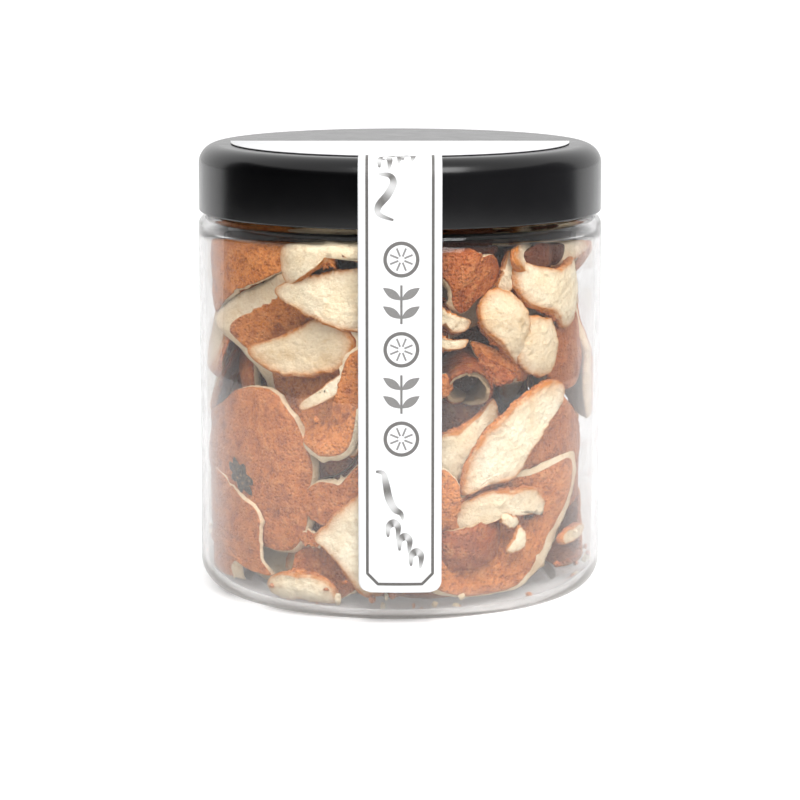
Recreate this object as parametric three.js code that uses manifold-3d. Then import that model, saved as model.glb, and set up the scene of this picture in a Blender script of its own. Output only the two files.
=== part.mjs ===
// A clear screw-top jar filled with dried orange peel and sealed with one paper label.
//
// Millimetres, +Z up. The origin is the centre of the plane the jar stands on, and the label
// faces -Y. The jar is a thin-walled straight body with a domed base, a rounded shoulder and a
// threaded neck. The cap screws over the neck and its skirt ends just above the shoulder. The
// label is one piece of paper: a half disc on top of the cap and a strip that folds over the
// cap's edge and runs down the front. The peel is one solid out to the heap's uneven outline.
import * as THREE from "three";
import { mergeVertices } from "three/addons/utils/BufferGeometryUtils.js";
import Module from "manifold-3d";

// ---- Driving dimensions ----
const TOTAL_HEIGHT = 101.7;
const BODY_RADIUS = 46;
const BODY_WALL = 1.4;
const CAP_RADIUS = 45.8;
const CAP_HEIGHT = 15.1;
const CAP_WALL = 1.5;
const NECK_RADIUS = 42.5;
const NECK_WALL = 1.7;
const LABEL_WIDTH = 18;
const LABEL_DISC_RADIUS = 38.5;
const LABEL_BOTTOM = 7.4;
const LABEL_CORNER = 2.5;
const PAPER = 0.2;
const PAPER_GAP = 0.15; // between the paper and what it is stuck to

// ---- Smaller sizes ----
const SEGMENTS = 64; // facets round the jar, the cap and the label
const HEEL_ROUND = 6.6; // outer corner between the wall and the base
const FOOT_WIDTH = 3.4; // flat ring that the jar stands on
const DOME_RISE = 2.2; // how far the base is pushed up inside that ring
const BASE_THICKNESS = 1.9;
const SHOULDER_ROUND = 2.4; // outer corner between the wall and the neck
const NECK_FILLET = 0.6;
const RIM_ROUND = 0.5; // edges of the mouth
const CAP_EDGE_ROUND = 4.4;
const FIT_GAP = 0.3; // between the mouth's rim and the cap's panel
const SKIRT_GAP = 0.9; // between the cap's skirt and the shoulder

// ---- Thread: one start, a round ridge on the neck and another inside the cap ----
const THREAD_PITCH = 5.08;
const THREAD_TURNS = 1.2;
const THREAD_RADIUS = 1; // of the ridge's round section
const THREAD_PROUD = 1.2; // how far the ridge stands out from its wall
const THREAD_START = 2.8; // start of the neck's ridge above the shoulder
const THREAD_STEPS_PER_TURN = 24;

// ---- Heap of peel ----
const HEAP_GAP = 0.4; // to the jar's inner wall
const HEAP_TOP = 92.5; // crown of the heap, inside the neck
const HEAP_SIDE_DENT = 2.2; // deepest hollow between pieces at the side
const HEAP_TOP_DENT = 3.2; // deepest hollow between pieces on top
const HEAP_SHRINK = 0.8; // the crown's radius as a share of the neck's
const CROWN_RISE = 1.5;
const HEAP_SEGMENTS = 40;
const HEAP_SIDE_ROWS = 10;

const TOOL_MARGIN = 4; // how far a trimming tool reaches past what it trims
const WELD = 1e-4; // vertices closer than this are one

// ---- Derived levels ----
const CAP_BOTTOM = TOTAL_HEIGHT - CAP_HEIGHT;
const PANEL_UNDERSIDE = TOTAL_HEIGHT - CAP_WALL;
const SHOULDER_TOP = CAP_BOTTOM - SKIRT_GAP;
const RIM_LEVEL = PANEL_UNDERSIDE - FIT_GAP;
const BODY_INNER = BODY_RADIUS - BODY_WALL;
const MOUTH_RADIUS = NECK_RADIUS - NECK_WALL;
const CAP_INNER = CAP_RADIUS - CAP_WALL;
const INNER_SHOULDER = BODY_INNER - MOUTH_RADIUS;
const INNER_SHOULDER_Z = SHOULDER_TOP - BODY_WALL;
const FOOT_OUTER = BODY_RADIUS - HEEL_ROUND;
const FOOT_INNER = FOOT_OUTER - FOOT_WIDTH;

const wasm = await Module();
wasm.setup();

// ---- Helpers ----

/** Points of a circular arc in the profile plane, from one angle to another in degrees. */
function arc(centreR, centreZ, radius, fromDeg, toDeg, steps) {
  return Array.from({ length: steps + 1 }, (_, i) => {
    const a = THREE.MathUtils.degToRad(fromDeg + ((toDeg - fromDeg) * i) / steps);
    return new THREE.Vector2(centreR + radius * Math.cos(a), centreZ + radius * Math.sin(a));
  });
}

/** Points of a shallow dome from the axis outwards, without its last point at the edge. */
function dome(outerR, edgeZ, rise, steps) {
  return Array.from({ length: steps }, (_, i) => {
    const t = i / steps;
    return new THREE.Vector2(outerR * t, edgeZ + rise * Math.cos((t * Math.PI) / 2));
  });
}

const point = (r, z) => new THREE.Vector2(r, z);

/** The cap's rounded top edge, or a skin that lies off it, from the panel down to the skirt. */
const capEdge = (off = 0) =>
  arc(CAP_RADIUS - CAP_EDGE_ROUND, TOTAL_HEIGHT - CAP_EDGE_ROUND, CAP_EDGE_ROUND + off, 90, 0, 6);

/** A solid of revolution about Z from a profile of (radius, height) points. */
function revolve(profile, segments = SEGMENTS) {
  return new THREE.LatheGeometry(profile, segments).rotateX(Math.PI / 2);
}

/** A closed three.js geometry as a manifold-3d solid, whichever way its faces were wound. */
function toSolid(geometry) {
  const bare = geometry.index ? geometry.toNonIndexed() : geometry.clone();
  bare.deleteAttribute("normal");
  bare.deleteAttribute("uv");
  const merged = mergeVertices(bare, WELD);
  const corners = Array.from(merged.index.array);
  const kept = [];
  for (let i = 0; i < corners.length; i += 3) {
    const [a, b, c] = corners.slice(i, i + 3);
    if (a !== b && b !== c && c !== a) kept.push(a, b, c);
  }
  const build = (triangles) =>
    new wasm.Manifold(
      new wasm.Mesh({
        numProp: 3,
        vertProperties: merged.attributes.position.array,
        triVerts: new Uint32Array(triangles),
      }),
    );
  const made = build(kept);
  if (made.volume() > 0) return made;
  for (let i = 0; i < kept.length; i += 3) [kept[i + 1], kept[i + 2]] = [kept[i + 2], kept[i + 1]];
  return build(kept);
}

/** A manifold-3d solid as a three.js geometry. */
function toGeometry(solid) {
  const mesh = solid.getMesh();
  const positions = new Float32Array(mesh.numVert * 3);
  for (let i = 0; i < mesh.numVert; i++) {
    positions.set(mesh.vertProperties.subarray(i * mesh.numProp, i * mesh.numProp + 3), i * 3);
  }
  const geometry = new THREE.BufferGeometry();
  geometry.setAttribute("position", new THREE.BufferAttribute(positions, 3));
  geometry.setIndex(new THREE.BufferAttribute(mesh.triVerts, 1));
  geometry.computeVertexNormals();
  return geometry;
}

/** One named sub-part with its own material. */
function part(name, solid, colour, roughness, extra = {}) {
  const material = new THREE.MeshStandardMaterial({ color: colour, roughness, metalness: 0, ...extra });
  const mesh = new THREE.Mesh(toGeometry(solid), material);
  mesh.name = name;
  return mesh;
}

/** A screw thread: a round section swept along a helix that starts at startZ. */
class Helix extends THREE.Curve {
  constructor(radius, startZ) {
    super();
    this.radius = radius;
    this.startZ = startZ;
  }

  getPoint(t, target = new THREE.Vector3()) {
    const angle = t * THREAD_TURNS * 2 * Math.PI;
    const z = this.startZ + t * THREAD_TURNS * THREAD_PITCH;
    return target.set(this.radius * Math.cos(angle), this.radius * Math.sin(angle), z);
  }
}

function threadRidge(radius, startZ) {
  const section = new THREE.Shape();
  section.absarc(0, 0, THREAD_RADIUS, 0, 2 * Math.PI);
  const geometry = new THREE.ExtrudeGeometry(section, {
    steps: Math.round(THREAD_TURNS * THREAD_STEPS_PER_TURN),
    curveSegments: 4,
    extrudePath: new Helix(radius, startZ),
  });
  return toSolid(geometry);
}

// ---- Jar: body, base, shoulder, neck and thread ----
function jar() {
  const shoulderR = BODY_RADIUS - SHOULDER_ROUND;
  const innerHeel = HEEL_ROUND - BODY_WALL;
  const shell = revolve([
    ...dome(FOOT_INNER, 0, DOME_RISE, 3),
    point(FOOT_INNER, 0),
    ...arc(FOOT_OUTER, HEEL_ROUND, HEEL_ROUND, -90, 0, 5),
    ...arc(shoulderR, SHOULDER_TOP - SHOULDER_ROUND, SHOULDER_ROUND, 0, 90, 3),
    ...arc(NECK_RADIUS + NECK_FILLET, SHOULDER_TOP + NECK_FILLET, NECK_FILLET, 270, 180, 1),
    ...arc(NECK_RADIUS - RIM_ROUND, RIM_LEVEL - RIM_ROUND, RIM_ROUND, 0, 90, 1),
    ...arc(MOUTH_RADIUS + RIM_ROUND, RIM_LEVEL - RIM_ROUND, RIM_ROUND, 90, 180, 1),
    ...arc(MOUTH_RADIUS, INNER_SHOULDER_Z - INNER_SHOULDER, INNER_SHOULDER, 90, 0, 3),
    ...arc(BODY_INNER - innerHeel, BASE_THICKNESS + innerHeel, innerHeel, 0, -90, 4),
    ...dome(FOOT_INNER, BASE_THICKNESS, DOME_RISE, 3).reverse(),
  ]);
  const ridge = threadRidge(NECK_RADIUS + THREAD_PROUD - THREAD_RADIUS, SHOULDER_TOP + THREAD_START);
  return toSolid(shell).add(ridge);
}

// ---- Cap: top panel, rounded edge, skirt and inner thread ----
function cap() {
  const innerRound = (CAP_EDGE_ROUND - CAP_WALL) / 2;
  const shell = revolve([
    point(0, TOTAL_HEIGHT),
    ...capEdge(),
    point(CAP_RADIUS, CAP_BOTTOM),
    point(CAP_INNER, CAP_BOTTOM),
    ...arc(CAP_INNER - innerRound, PANEL_UNDERSIDE - innerRound, innerRound, 0, 90, 3),
    point(0, PANEL_UNDERSIDE),
  ]);
  const start = SHOULDER_TOP + THREAD_START + THREAD_PITCH / 2;
  return toSolid(shell).add(threadRidge(CAP_INNER - THREAD_PROUD + THREAD_RADIUS, start));
}

// ---- Label: a paper skin over the cap and the body, trimmed to a half disc and a strip ----
function label() {
  const skin = (off) => [
    point(0, TOTAL_HEIGHT + off),
    ...capEdge(off),
    point(CAP_RADIUS + off, CAP_BOTTOM),
    point(BODY_RADIUS + off, SHOULDER_TOP - SHOULDER_ROUND),
    point(BODY_RADIUS + off, LABEL_BOTTOM - TOOL_MARGIN / 2),
  ];
  const sheet = toSolid(revolve([...skin(PAPER_GAP), ...skin(PAPER_GAP + PAPER).reverse()]));
  return sheet.intersect(labelDisc().add(labelStrip()));
}

/** The part of space over the cap's front half, which trims the sheet to a half disc. */
function labelDisc() {
  const outline = new THREE.Shape();
  outline.moveTo(LABEL_DISC_RADIUS, 0);
  outline.lineTo(-LABEL_DISC_RADIUS, 0);
  outline.absarc(0, 0, LABEL_DISC_RADIUS, Math.PI, 2 * Math.PI);
  const options = { depth: TOOL_MARGIN, curveSegments: 24, bevelEnabled: false };
  const geometry = new THREE.ExtrudeGeometry(outline, options);
  return toSolid(geometry.translate(0, 0, TOTAL_HEIGHT - TOOL_MARGIN / 2));
}

/** A slab in front of the jar with the strip's outline, which trims the sheet to the strip. */
function labelStrip() {
  const half = LABEL_WIDTH / 2;
  const cornerZ = LABEL_BOTTOM + LABEL_CORNER;
  const outline = new THREE.Shape();
  outline.moveTo(-half, TOTAL_HEIGHT + TOOL_MARGIN);
  outline.lineTo(-half, cornerZ);
  outline.absarc(-half + LABEL_CORNER, cornerZ, LABEL_CORNER, Math.PI, 1.5 * Math.PI);
  outline.absarc(half - LABEL_CORNER, cornerZ, LABEL_CORNER, 1.5 * Math.PI, 2 * Math.PI);
  outline.lineTo(half, TOTAL_HEIGHT + TOOL_MARGIN);
  const options = { depth: BODY_RADIUS, curveSegments: 5, bevelEnabled: false };
  const geometry = new THREE.ExtrudeGeometry(outline, options);
  return toSolid(geometry.rotateX(Math.PI / 2).translate(0, -LABEL_WIDTH, 0));
}

// ---- Peel: one heap with hollows between the pieces at its side and on top ----
function heap() {
  const bodyR = BODY_INNER - HEAP_GAP;
  const neckR = MOUTH_RADIUS - HEAP_GAP;
  const heel = HEEL_ROUND - BODY_WALL;
  const floor = BASE_THICKNESS + HEAP_GAP;
  const sideBottom = floor + heel;
  const sideTop = INNER_SHOULDER_Z - INNER_SHOULDER - HEAP_GAP;
  const rowHeight = (sideTop - sideBottom) / HEAP_SIDE_ROWS;
  const side = Array.from({ length: HEAP_SIDE_ROWS }, (_, i) =>
    point(bodyR, sideBottom + rowHeight * (i + 1)),
  );
  const geometry = revolve(
    [
      ...dome(FOOT_INNER, floor, DOME_RISE, 3),
      ...arc(bodyR - heel, sideBottom, heel, -90, 0, 3),
      ...side,
      point(neckR, INNER_SHOULDER_Z - HEAP_GAP),
      point(neckR, SHOULDER_TOP + 2 * HEAP_GAP),
      point(neckR * (1 + HEAP_SHRINK) / 2, HEAP_TOP - 2 * CROWN_RISE),
      ...dome(neckR * HEAP_SHRINK, HEAP_TOP - CROWN_RISE, CROWN_RISE, 4).reverse(),
    ],
    HEAP_SEGMENTS,
  );
  hollow(geometry.getAttribute("position"), neckR);
  return toSolid(geometry);
}

/** Pushes the heap's side inwards and its top downwards in soft waves, and nothing outwards. */
function hollow(positions, neckR) {
  const wave = (angle, phase) => 0.5 + 0.5 * Math.sin(angle + phase);
  const vertex = new THREE.Vector3();
  for (let i = 0; i < positions.count; i++) {
    vertex.fromBufferAttribute(positions, i);
    const r = Math.hypot(vertex.x, vertex.y);
    const angle = Math.atan2(vertex.y, vertex.x);
    const onSide = THREE.MathUtils.smoothstep(r, neckR * HEAP_SHRINK, neckR);
    const onTop = THREE.MathUtils.smoothstep(vertex.z, SHOULDER_TOP, HEAP_TOP - CROWN_RISE);
    const sideWave = wave(7 * angle, vertex.z * 0.21) * wave(-5 * angle, vertex.z * 0.33);
    const topWave = wave(3 * angle, r * 0.4) * THREE.MathUtils.smoothstep(r, 0, neckR / 2);
    const shrink = 1 - (HEAP_SIDE_DENT * sideWave * onSide) / Math.max(r, 1);
    const drop = HEAP_TOP_DENT * topWave * onTop;
    positions.setXYZ(i, vertex.x * shrink, vertex.y * shrink, vertex.z - drop);
  }
}

// ---- Assembly ----
const group = new THREE.Group();
group.add(part("jar", jar(), 0xf2f5f6, 0.06, { transparent: true, opacity: 0.25 }));
group.add(part("cap", cap(), 0x101114, 0.35));
group.add(part("label", label(), 0xf7f7f9, 0.75));
group.add(part("peel_heap", heap(), 0xc97840, 0.85));

export default group;
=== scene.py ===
"""Looks for a clear screw-top jar of dried orange peel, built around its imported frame.

The jar faces -Y. Lengths below are millimetres unless a name says otherwise, and Blender's
units are metres. Places on the jar's wall are given as (s, z): s runs round the inner wall to
the right from the middle of the label, and z is the height above the ground.
"""

import math
import random

import bmesh
import bpy
import numpy as np
from bpy.props import FloatProperty, FloatVectorProperty, IntProperty, PointerProperty
from mathutils import Matrix, Vector, kdtree, noise


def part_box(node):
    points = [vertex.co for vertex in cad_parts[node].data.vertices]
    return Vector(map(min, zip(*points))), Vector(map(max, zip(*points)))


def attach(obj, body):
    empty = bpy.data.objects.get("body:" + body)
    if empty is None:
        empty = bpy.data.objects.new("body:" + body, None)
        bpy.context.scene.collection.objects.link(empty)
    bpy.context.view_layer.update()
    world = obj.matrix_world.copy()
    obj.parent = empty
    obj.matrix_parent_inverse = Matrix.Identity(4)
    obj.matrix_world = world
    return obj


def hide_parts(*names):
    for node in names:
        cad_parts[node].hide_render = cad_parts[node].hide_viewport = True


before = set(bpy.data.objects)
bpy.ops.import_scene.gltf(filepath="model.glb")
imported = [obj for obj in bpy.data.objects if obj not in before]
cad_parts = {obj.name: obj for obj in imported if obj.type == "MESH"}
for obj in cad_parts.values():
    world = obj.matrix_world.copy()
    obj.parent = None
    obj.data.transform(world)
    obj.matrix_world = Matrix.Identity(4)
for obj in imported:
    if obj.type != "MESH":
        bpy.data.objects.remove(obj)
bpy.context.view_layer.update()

bl_info = {
    "name": "Jar of Dried Orange Peel",
    "version": (1, 0, 0),
    "blender": (4, 5, 0),
    "location": "View3D > Sidebar > Peel Jar",
    "description": "Builds a sealed clear jar filled with pieces of dried orange peel",
    "category": "Object",
}

MM = 0.001
JAR_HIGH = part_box("jar")[1]
CAP_LOW, CAP_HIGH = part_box("cap")
LABEL_LOW, LABEL_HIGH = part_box("label")
HEAP_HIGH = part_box("peel_heap")[1]

# ---- Sizes that the frame gives, in millimetres ----
BODY_R = JAR_HIGH.x / MM
RIM_Z = JAR_HIGH.z / MM
CAP_R = CAP_HIGH.x / MM
CAP_TOP = CAP_HIGH.z / MM
CAP_BOTTOM = CAP_LOW.z / MM
DISC_R = LABEL_HIGH.x / MM
LABEL_BOTTOM = LABEL_LOW.z / MM

# ---- Sizes shared with the frame's solids ----
WALL = 1.4
HEEL_ROUND = 6.6
FOOT_WIDTH = 3.4
DOME_RISE = 2.2
BASE = 1.9
SHOULDER_ROUND = 2.4
SHOULDER_Z = CAP_BOTTOM - 0.9
NECK_R = 42.5
MOUTH_R = 40.8
CAP_WALL = 1.5
CAP_EDGE_ROUND = 4.4
PAPER = 0.2
PAPER_GAP = 0.15

INNER_R = BODY_R - WALL
INNER_HEEL = HEEL_ROUND - WALL
INNER_SHOULDER = INNER_R - MOUTH_R
FOOT_R = BODY_R - HEEL_ROUND
FOOT_INNER = FOOT_R - FOOT_WIDTH
TURN_STEPS = 192
THREAD_Z = SHOULDER_Z + 2.8
THREAD_PITCH = 5.08
THREAD_SINK = 0.2


# ---- Settings ----


class JarSettings(bpy.types.PropertyGroup):
    """Finish of the clear jar and its cap."""

    refraction: FloatProperty(
        name="Refraction", description="Index of refraction of the clear plastic",
        default=1.38, min=1.0, max=2.0,
    )
    dust: FloatProperty(
        name="Dust", description="Share of the wall veiled by fine peel dust near the base",
        default=0.046, min=0.0, max=1.0, subtype="FACTOR",
    )
    cap_color: FloatVectorProperty(
        name="Cap Color", description="Color of the cap",
        default=(0.0012, 0.0012, 0.0015), min=0, max=1, subtype="COLOR",
    )


class LabelSettings(bpy.types.PropertyGroup):
    """Size and print of the paper label."""

    width: FloatProperty(
        name="Strip Width", description="Width of the strip down the front",
        default=0.018, min=0.01, max=0.03, unit="LENGTH",
    )
    frame_inset: FloatProperty(
        name="Frame Inset", description="Distance from the strip's edge to the printed line",
        default=0.0019, min=0.0005, max=0.005, unit="LENGTH",
    )
    ink_color: FloatVectorProperty(
        name="Ink Color", description="Color of the print",
        default=(0.075, 0.068, 0.06), min=0, max=1, subtype="COLOR",
    )


class PeelSettings(bpy.types.PropertyGroup):
    """Size, number and colors of the peel pieces."""

    thickness: FloatProperty(
        name="Thickness", description="Thickness of a loose piece",
        default=0.0024, min=0.001, max=0.005, unit="LENGTH",
    )
    columns: IntProperty(
        name="Columns", description="Loose pieces round the jar in each row",
        default=15, min=6, max=30,
    )
    rows: IntProperty(name="Rows", description="Rows of loose pieces up the jar", default=7, min=2, max=12)
    seed: IntProperty(name="Seed", description="Seed of the loose pieces", default=5, min=0)
    rind_color: FloatVectorProperty(
        name="Rind Color", description="Color of the outer skin",
        default=(0.62, 0.205, 0.05), min=0, max=1, subtype="COLOR",
    )
    pith_color: FloatVectorProperty(
        name="Pith Color", description="Color of the inner pith",
        default=(0.96, 0.8, 0.54), min=0, max=1, subtype="COLOR",
    )


class StageSettings(bpy.types.PropertyGroup):
    """Camera and light."""

    lens: FloatProperty(
        name="Lens", description="Focal length of the camera in millimetres",
        default=138.5, min=20, max=400,
    )
    distance: FloatProperty(
        name="Distance", description="From the camera to the point it looks at",
        default=0.7103, min=0.2, max=5, unit="LENGTH",
    )
    pitch: FloatProperty(
        name="Pitch", description="How far the camera looks down", default=math.radians(9.44),
        min=0, max=math.radians(89), subtype="ANGLE",
    )
    target_height: FloatProperty(
        name="Target Height", description="Height of the point the camera looks at",
        default=0.04225, min=0, max=1, unit="LENGTH",
    )
    key_power: FloatProperty(
        name="Key Power", description="Power of the overhead soft light in watts",
        default=8.8, min=0, max=200,
    )


# ---- Mesh helpers ----


def arc(centre_r, centre_z, radius, start, end, steps):
    """Points of an arc in the (radius, height) plane, angles in degrees."""
    angles = [math.radians(start + (end - start) * i / steps) for i in range(steps + 1)]
    return [(centre_r + radius * math.cos(a), centre_z + radius * math.sin(a)) for a in angles]


def dome(outer_r, edge_z, rise, steps):
    """Points of a shallow dome from the axis outwards, without its last point."""
    return [(outer_r * i / steps, edge_z + rise * math.cos(i / steps * math.pi / 2)) for i in range(steps)]


def spline(a, b, c, d, q):
    """The point at share q of the way from b to c on a smooth line through four points."""
    return 0.5 * (2 * b + (c - a) * q + (2 * a - 5 * b + 4 * c - d) * q**2 + (3 * b - a - 3 * c + d) * q**3)


def disc_place(u, w):
    """The radius and direction on a disc of the point (u, w) of a square."""
    a, b = u * math.sqrt(1 - w * w / 2), w * math.sqrt(1 - u * u / 2)
    return math.hypot(a, b), math.atan2(b, a)


def add_object(bm, name, material):
    """Turns a bmesh into an object of the scene."""
    mesh = bpy.data.meshes.new(name)
    bm.to_mesh(mesh)
    bm.free()
    mesh.materials.append(material)
    made = bpy.data.objects.new(name, mesh)
    bpy.context.scene.collection.objects.link(made)
    return made


def finish_mesh(bm, name, material, replaced=()):
    """Turns a bmesh into a smooth piece that rides on the jar."""
    for face in bm.faces:
        face.smooth = True
    piece = add_object(bm, name, material)
    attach(piece, "root")
    if replaced:
        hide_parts(*replaced)
    return piece


def spun(profile, steps=TURN_STEPS):
    """A closed bmesh turned about Z from (radius, height) points that start and end on the axis."""
    bm = bmesh.new()
    verts = [bm.verts.new((r * MM, 0.0, z * MM)) for r, z in profile]
    edges = [bm.edges.new(pair) for pair in zip(verts, verts[1:])]
    bmesh.ops.spin(
        bm, geom=verts + edges, cent=(0, 0, 0), axis=(0, 0, 1), dvec=(0, 0, 0),
        angle=2 * math.pi, steps=steps, use_merge=True, use_normal_flip=False, use_duplicate=False,
    )
    bmesh.ops.remove_doubles(bm, verts=bm.verts, dist=1e-6)
    bmesh.ops.recalc_face_normals(bm, faces=bm.faces)
    return bm


def thread(radius, start_z, name, material):
    """A round thread ridge on a helix."""
    turns, ridge, steps = 1.2, 1.0, 96
    bm = bmesh.new()
    bmesh.ops.create_circle(bm, cap_ends=True, segments=12, radius=ridge * MM)
    bmesh.ops.rotate(bm, verts=bm.verts, cent=(0, 0, 0), matrix=Matrix.Rotation(math.pi / 2, 3, "X"))
    bmesh.ops.translate(bm, verts=bm.verts, vec=(radius * MM, 0, start_z * MM))
    bmesh.ops.spin(
        bm, geom=bm.verts[:] + bm.edges[:] + bm.faces[:], cent=(0, 0, 0), axis=(0, 0, 1),
        dvec=(0, 0, THREAD_PITCH * turns * MM / steps), angle=2 * math.pi * turns, steps=steps,
        use_merge=False, use_normal_flip=False, use_duplicate=False,
    )
    open_edges = [e for e in bm.edges if e.is_boundary]
    if open_edges:
        bmesh.ops.holes_fill(bm, edges=open_edges)
    bmesh.ops.recalc_face_normals(bm, faces=bm.faces)
    return finish_mesh(bm, name, material)


# ---- Material helpers ----


def new_material(name):
    """A material with an empty node tree and its output node."""
    material = bpy.data.materials.new(name)
    material.use_nodes = True
    tree = material.node_tree
    tree.nodes.clear()
    return material, tree, tree.nodes.new("ShaderNodeOutputMaterial")


def node(tree, kind, inputs=None, **settings):
    """A node with its settings and inputs. An input is a value or another node's output."""
    made = tree.nodes.new(kind)
    for key, value in settings.items():
        setattr(made, key, value)
    for key, value in (inputs or {}).items():
        if isinstance(value, bpy.types.NodeSocket):
            tree.links.new(value, made.inputs[key])
        else:
            made.inputs[key].default_value = value
    return made


def ramp(tree, value, stops):
    """A color ramp from (position, color) stops."""
    made = node(tree, "ShaderNodeValToRGB", {"Fac": value})
    elements = made.color_ramp.elements
    while len(elements) < len(stops):
        elements.new(0.5)
    for element, (position, color) in zip(elements, stops):
        element.position = position
        element.color = (*color, 1)
    return made.outputs["Color"]


def grey(level):
    """A grey color."""
    return (level, level, level)


def mixed(tree, factor, a, b, blend="MIX"):
    """The mix of two colors."""
    made = node(tree, "ShaderNodeMix", data_type="RGBA", blend_type=blend)
    for socket, value in ((made.inputs[0], factor), (made.inputs[6], a), (made.inputs[7], b)):
        if isinstance(value, bpy.types.NodeSocket):
            tree.links.new(value, socket)
        else:
            socket.default_value = (*value, 1) if isinstance(value, tuple) else value
    return made.outputs[2]


def math_node(tree, operation, a, b=0.0, clamp=False):
    """The result of a math node."""
    made = node(tree, "ShaderNodeMath", {0: a, 1: b}, operation=operation)
    made.use_clamp = clamp
    return made.outputs[0]


def object_noise(tree, scale, detail=3.0, roughness=0.55):
    """Noise on object coordinates, with scale in features per metre."""
    coords = node(tree, "ShaderNodeTexCoord").outputs["Object"]
    inputs = {"Vector": coords, "Scale": scale, "Detail": detail, "Roughness": roughness}
    return node(tree, "ShaderNodeTexNoise", inputs).outputs["Fac"]


def attribute(tree, name):
    """A piece's own value, stored on its points."""
    return node(tree, "ShaderNodeAttribute", attribute_name=name).outputs["Fac"]


# ---- Materials ----


def clear_plastic(settings):
    """Clear moulded plastic with a veil of fine dust that thickens towards the base, a milky veil at
    the left and right that is partly haze and partly painted sheen of grazing reflection, and a
    darker grey veil at the very bottom that is partly dust and partly painted reflection.
    """
    material, tree, out = new_material("clear_jar_plastic")
    coords = node(tree, "ShaderNodeTexCoord").outputs["Object"]
    place = node(tree, "ShaderNodeSeparateXYZ", {0: coords}).outputs
    height = place["Z"]
    low = node(
        tree, "ShaderNodeMapRange",
        {"Value": height, "From Min": 0.03, "From Max": 0.075, "To Min": 1.0, "To Max": 0.12},
        interpolation_type="SMOOTHSTEP",
    ).outputs[0]
    smudge = node(
        tree, "ShaderNodeMapRange",
        {"Value": object_noise(tree, 55, 4), "From Min": 0.3, "From Max": 0.7, "To Min": 0.7, "To Max": 1.2},
    ).outputs[0]
    veil = math_node(tree, "MULTIPLY", math_node(tree, "MULTIPLY", low, smudge), settings.dust, clamp=True)
    # Darker grey at the very bottom: partly dust, partly painted reflection of the thick base.
    base = node(
        tree, "ShaderNodeMapRange",
        {"Value": height, "From Min": 0.002, "From Max": 0.009, "To Min": 0.2, "To Max": 0.0},
        interpolation_type="SMOOTHSTEP",
    ).outputs[0]
    # Milky veil at the left and right of the jar: partly haze, partly painted sheen of grazing reflection.
    aside = math_node(tree, "ABSOLUTE", place["X"])
    side_haze_and_painted_sheen = node(
        tree, "ShaderNodeMapRange",
        {"Value": aside, "From Min": 0.035, "From Max": 0.0455, "To Min": 0.0, "To Max": 0.14},
        interpolation_type="SMOOTHSTEP",
    ).outputs[0]
    veil = math_node(tree, "ADD", veil, math_node(tree, "MULTIPLY", side_haze_and_painted_sheen, smudge))
    veil = math_node(tree, "ADD", veil, math_node(tree, "MULTIPLY", base, smudge), clamp=True)
    glass = node(
        tree, "ShaderNodeBsdfGlass",
        {"Color": (0.965, 0.965, 0.965, 1), "Roughness": 0.0, "IOR": settings.refraction},
    )
    # The veil turns darker grey at the very bottom, partly dust and partly painted reflection.
    tint = ramp(tree, base, [(0.0, (0.85, 0.84, 0.83)), (0.18, (0.5, 0.47, 0.44))])
    dust = node(tree, "ShaderNodeBsdfDiffuse", {"Color": tint})
    veiled = node(tree, "ShaderNodeMixShader", {0: veil, 1: glass.outputs[0], 2: dust.outputs[0]})
    clear = node(tree, "ShaderNodeBsdfTransparent", {"Color": (0.96, 0.96, 0.96, 1)})
    shadow = node(tree, "ShaderNodeLightPath").outputs["Is Shadow Ray"]
    shown = node(tree, "ShaderNodeMixShader", {0: shadow, 1: veiled.outputs[0], 2: clear.outputs[0]})
    tree.links.new(shown.outputs[0], out.inputs["Surface"])
    return material


def cap_plastic(settings):
    """Satin black moulded plastic with faint handling marks."""
    material, tree, out = new_material("satin_black_plastic")
    marks = object_noise(tree, 160, 6, 0.7)
    rough = node(tree, "ShaderNodeMapRange", {"Value": marks, "To Min": 0.17, "To Max": 0.27}).outputs[0]
    tint = mixed(tree, object_noise(tree, 40), tuple(settings.cap_color), (0.003, 0.003, 0.0035))
    grain = object_noise(tree, 2600, 2)
    bump = node(tree, "ShaderNodeBump", {"Height": grain, "Strength": 0.05, "Distance": 0.00005}).outputs[0]
    shader = node(
        tree, "ShaderNodeBsdfPrincipled",
        {"Base Color": tint, "Roughness": rough, "Normal": bump, "IOR": 1.45},
    )
    tree.links.new(shader.outputs[0], out.inputs["Surface"])
    return material


def paper():
    """White coated paper with faint fibres."""
    material, tree, out = new_material("white_label_paper")
    fibres = object_noise(tree, 1500, 5, 0.7)
    cloud = object_noise(tree, 90, 2)
    tint = mixed(tree, cloud, (0.90, 0.90, 0.915), (0.95, 0.95, 0.955))
    bump = node(tree, "ShaderNodeBump", {"Height": fibres, "Strength": 0.12, "Distance": 0.00006}).outputs[0]
    shader = node(tree, "ShaderNodeBsdfPrincipled", {"Base Color": tint, "Roughness": 0.55, "Normal": bump})
    tree.links.new(shader.outputs[0], out.inputs["Surface"])
    return material


def ink(settings):
    """Printed ink whose strength follows the print's own attribute."""
    material, tree, out = new_material("grey_print")
    strength = attribute(tree, "ink")
    speckle = node(
        tree, "ShaderNodeMapRange", {"Value": object_noise(tree, 3000, 2), "To Min": 0.86, "To Max": 1.0}
    ).outputs[0]
    shade = math_node(tree, "MULTIPLY", strength, speckle)
    tint = mixed(tree, shade, (0.9, 0.9, 0.9), tuple(settings.ink_color))
    shader = node(tree, "ShaderNodeBsdfPrincipled", {"Base Color": tint, "Roughness": 0.5})
    tree.links.new(shader.outputs[0], out.inputs["Surface"])
    return material


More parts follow.
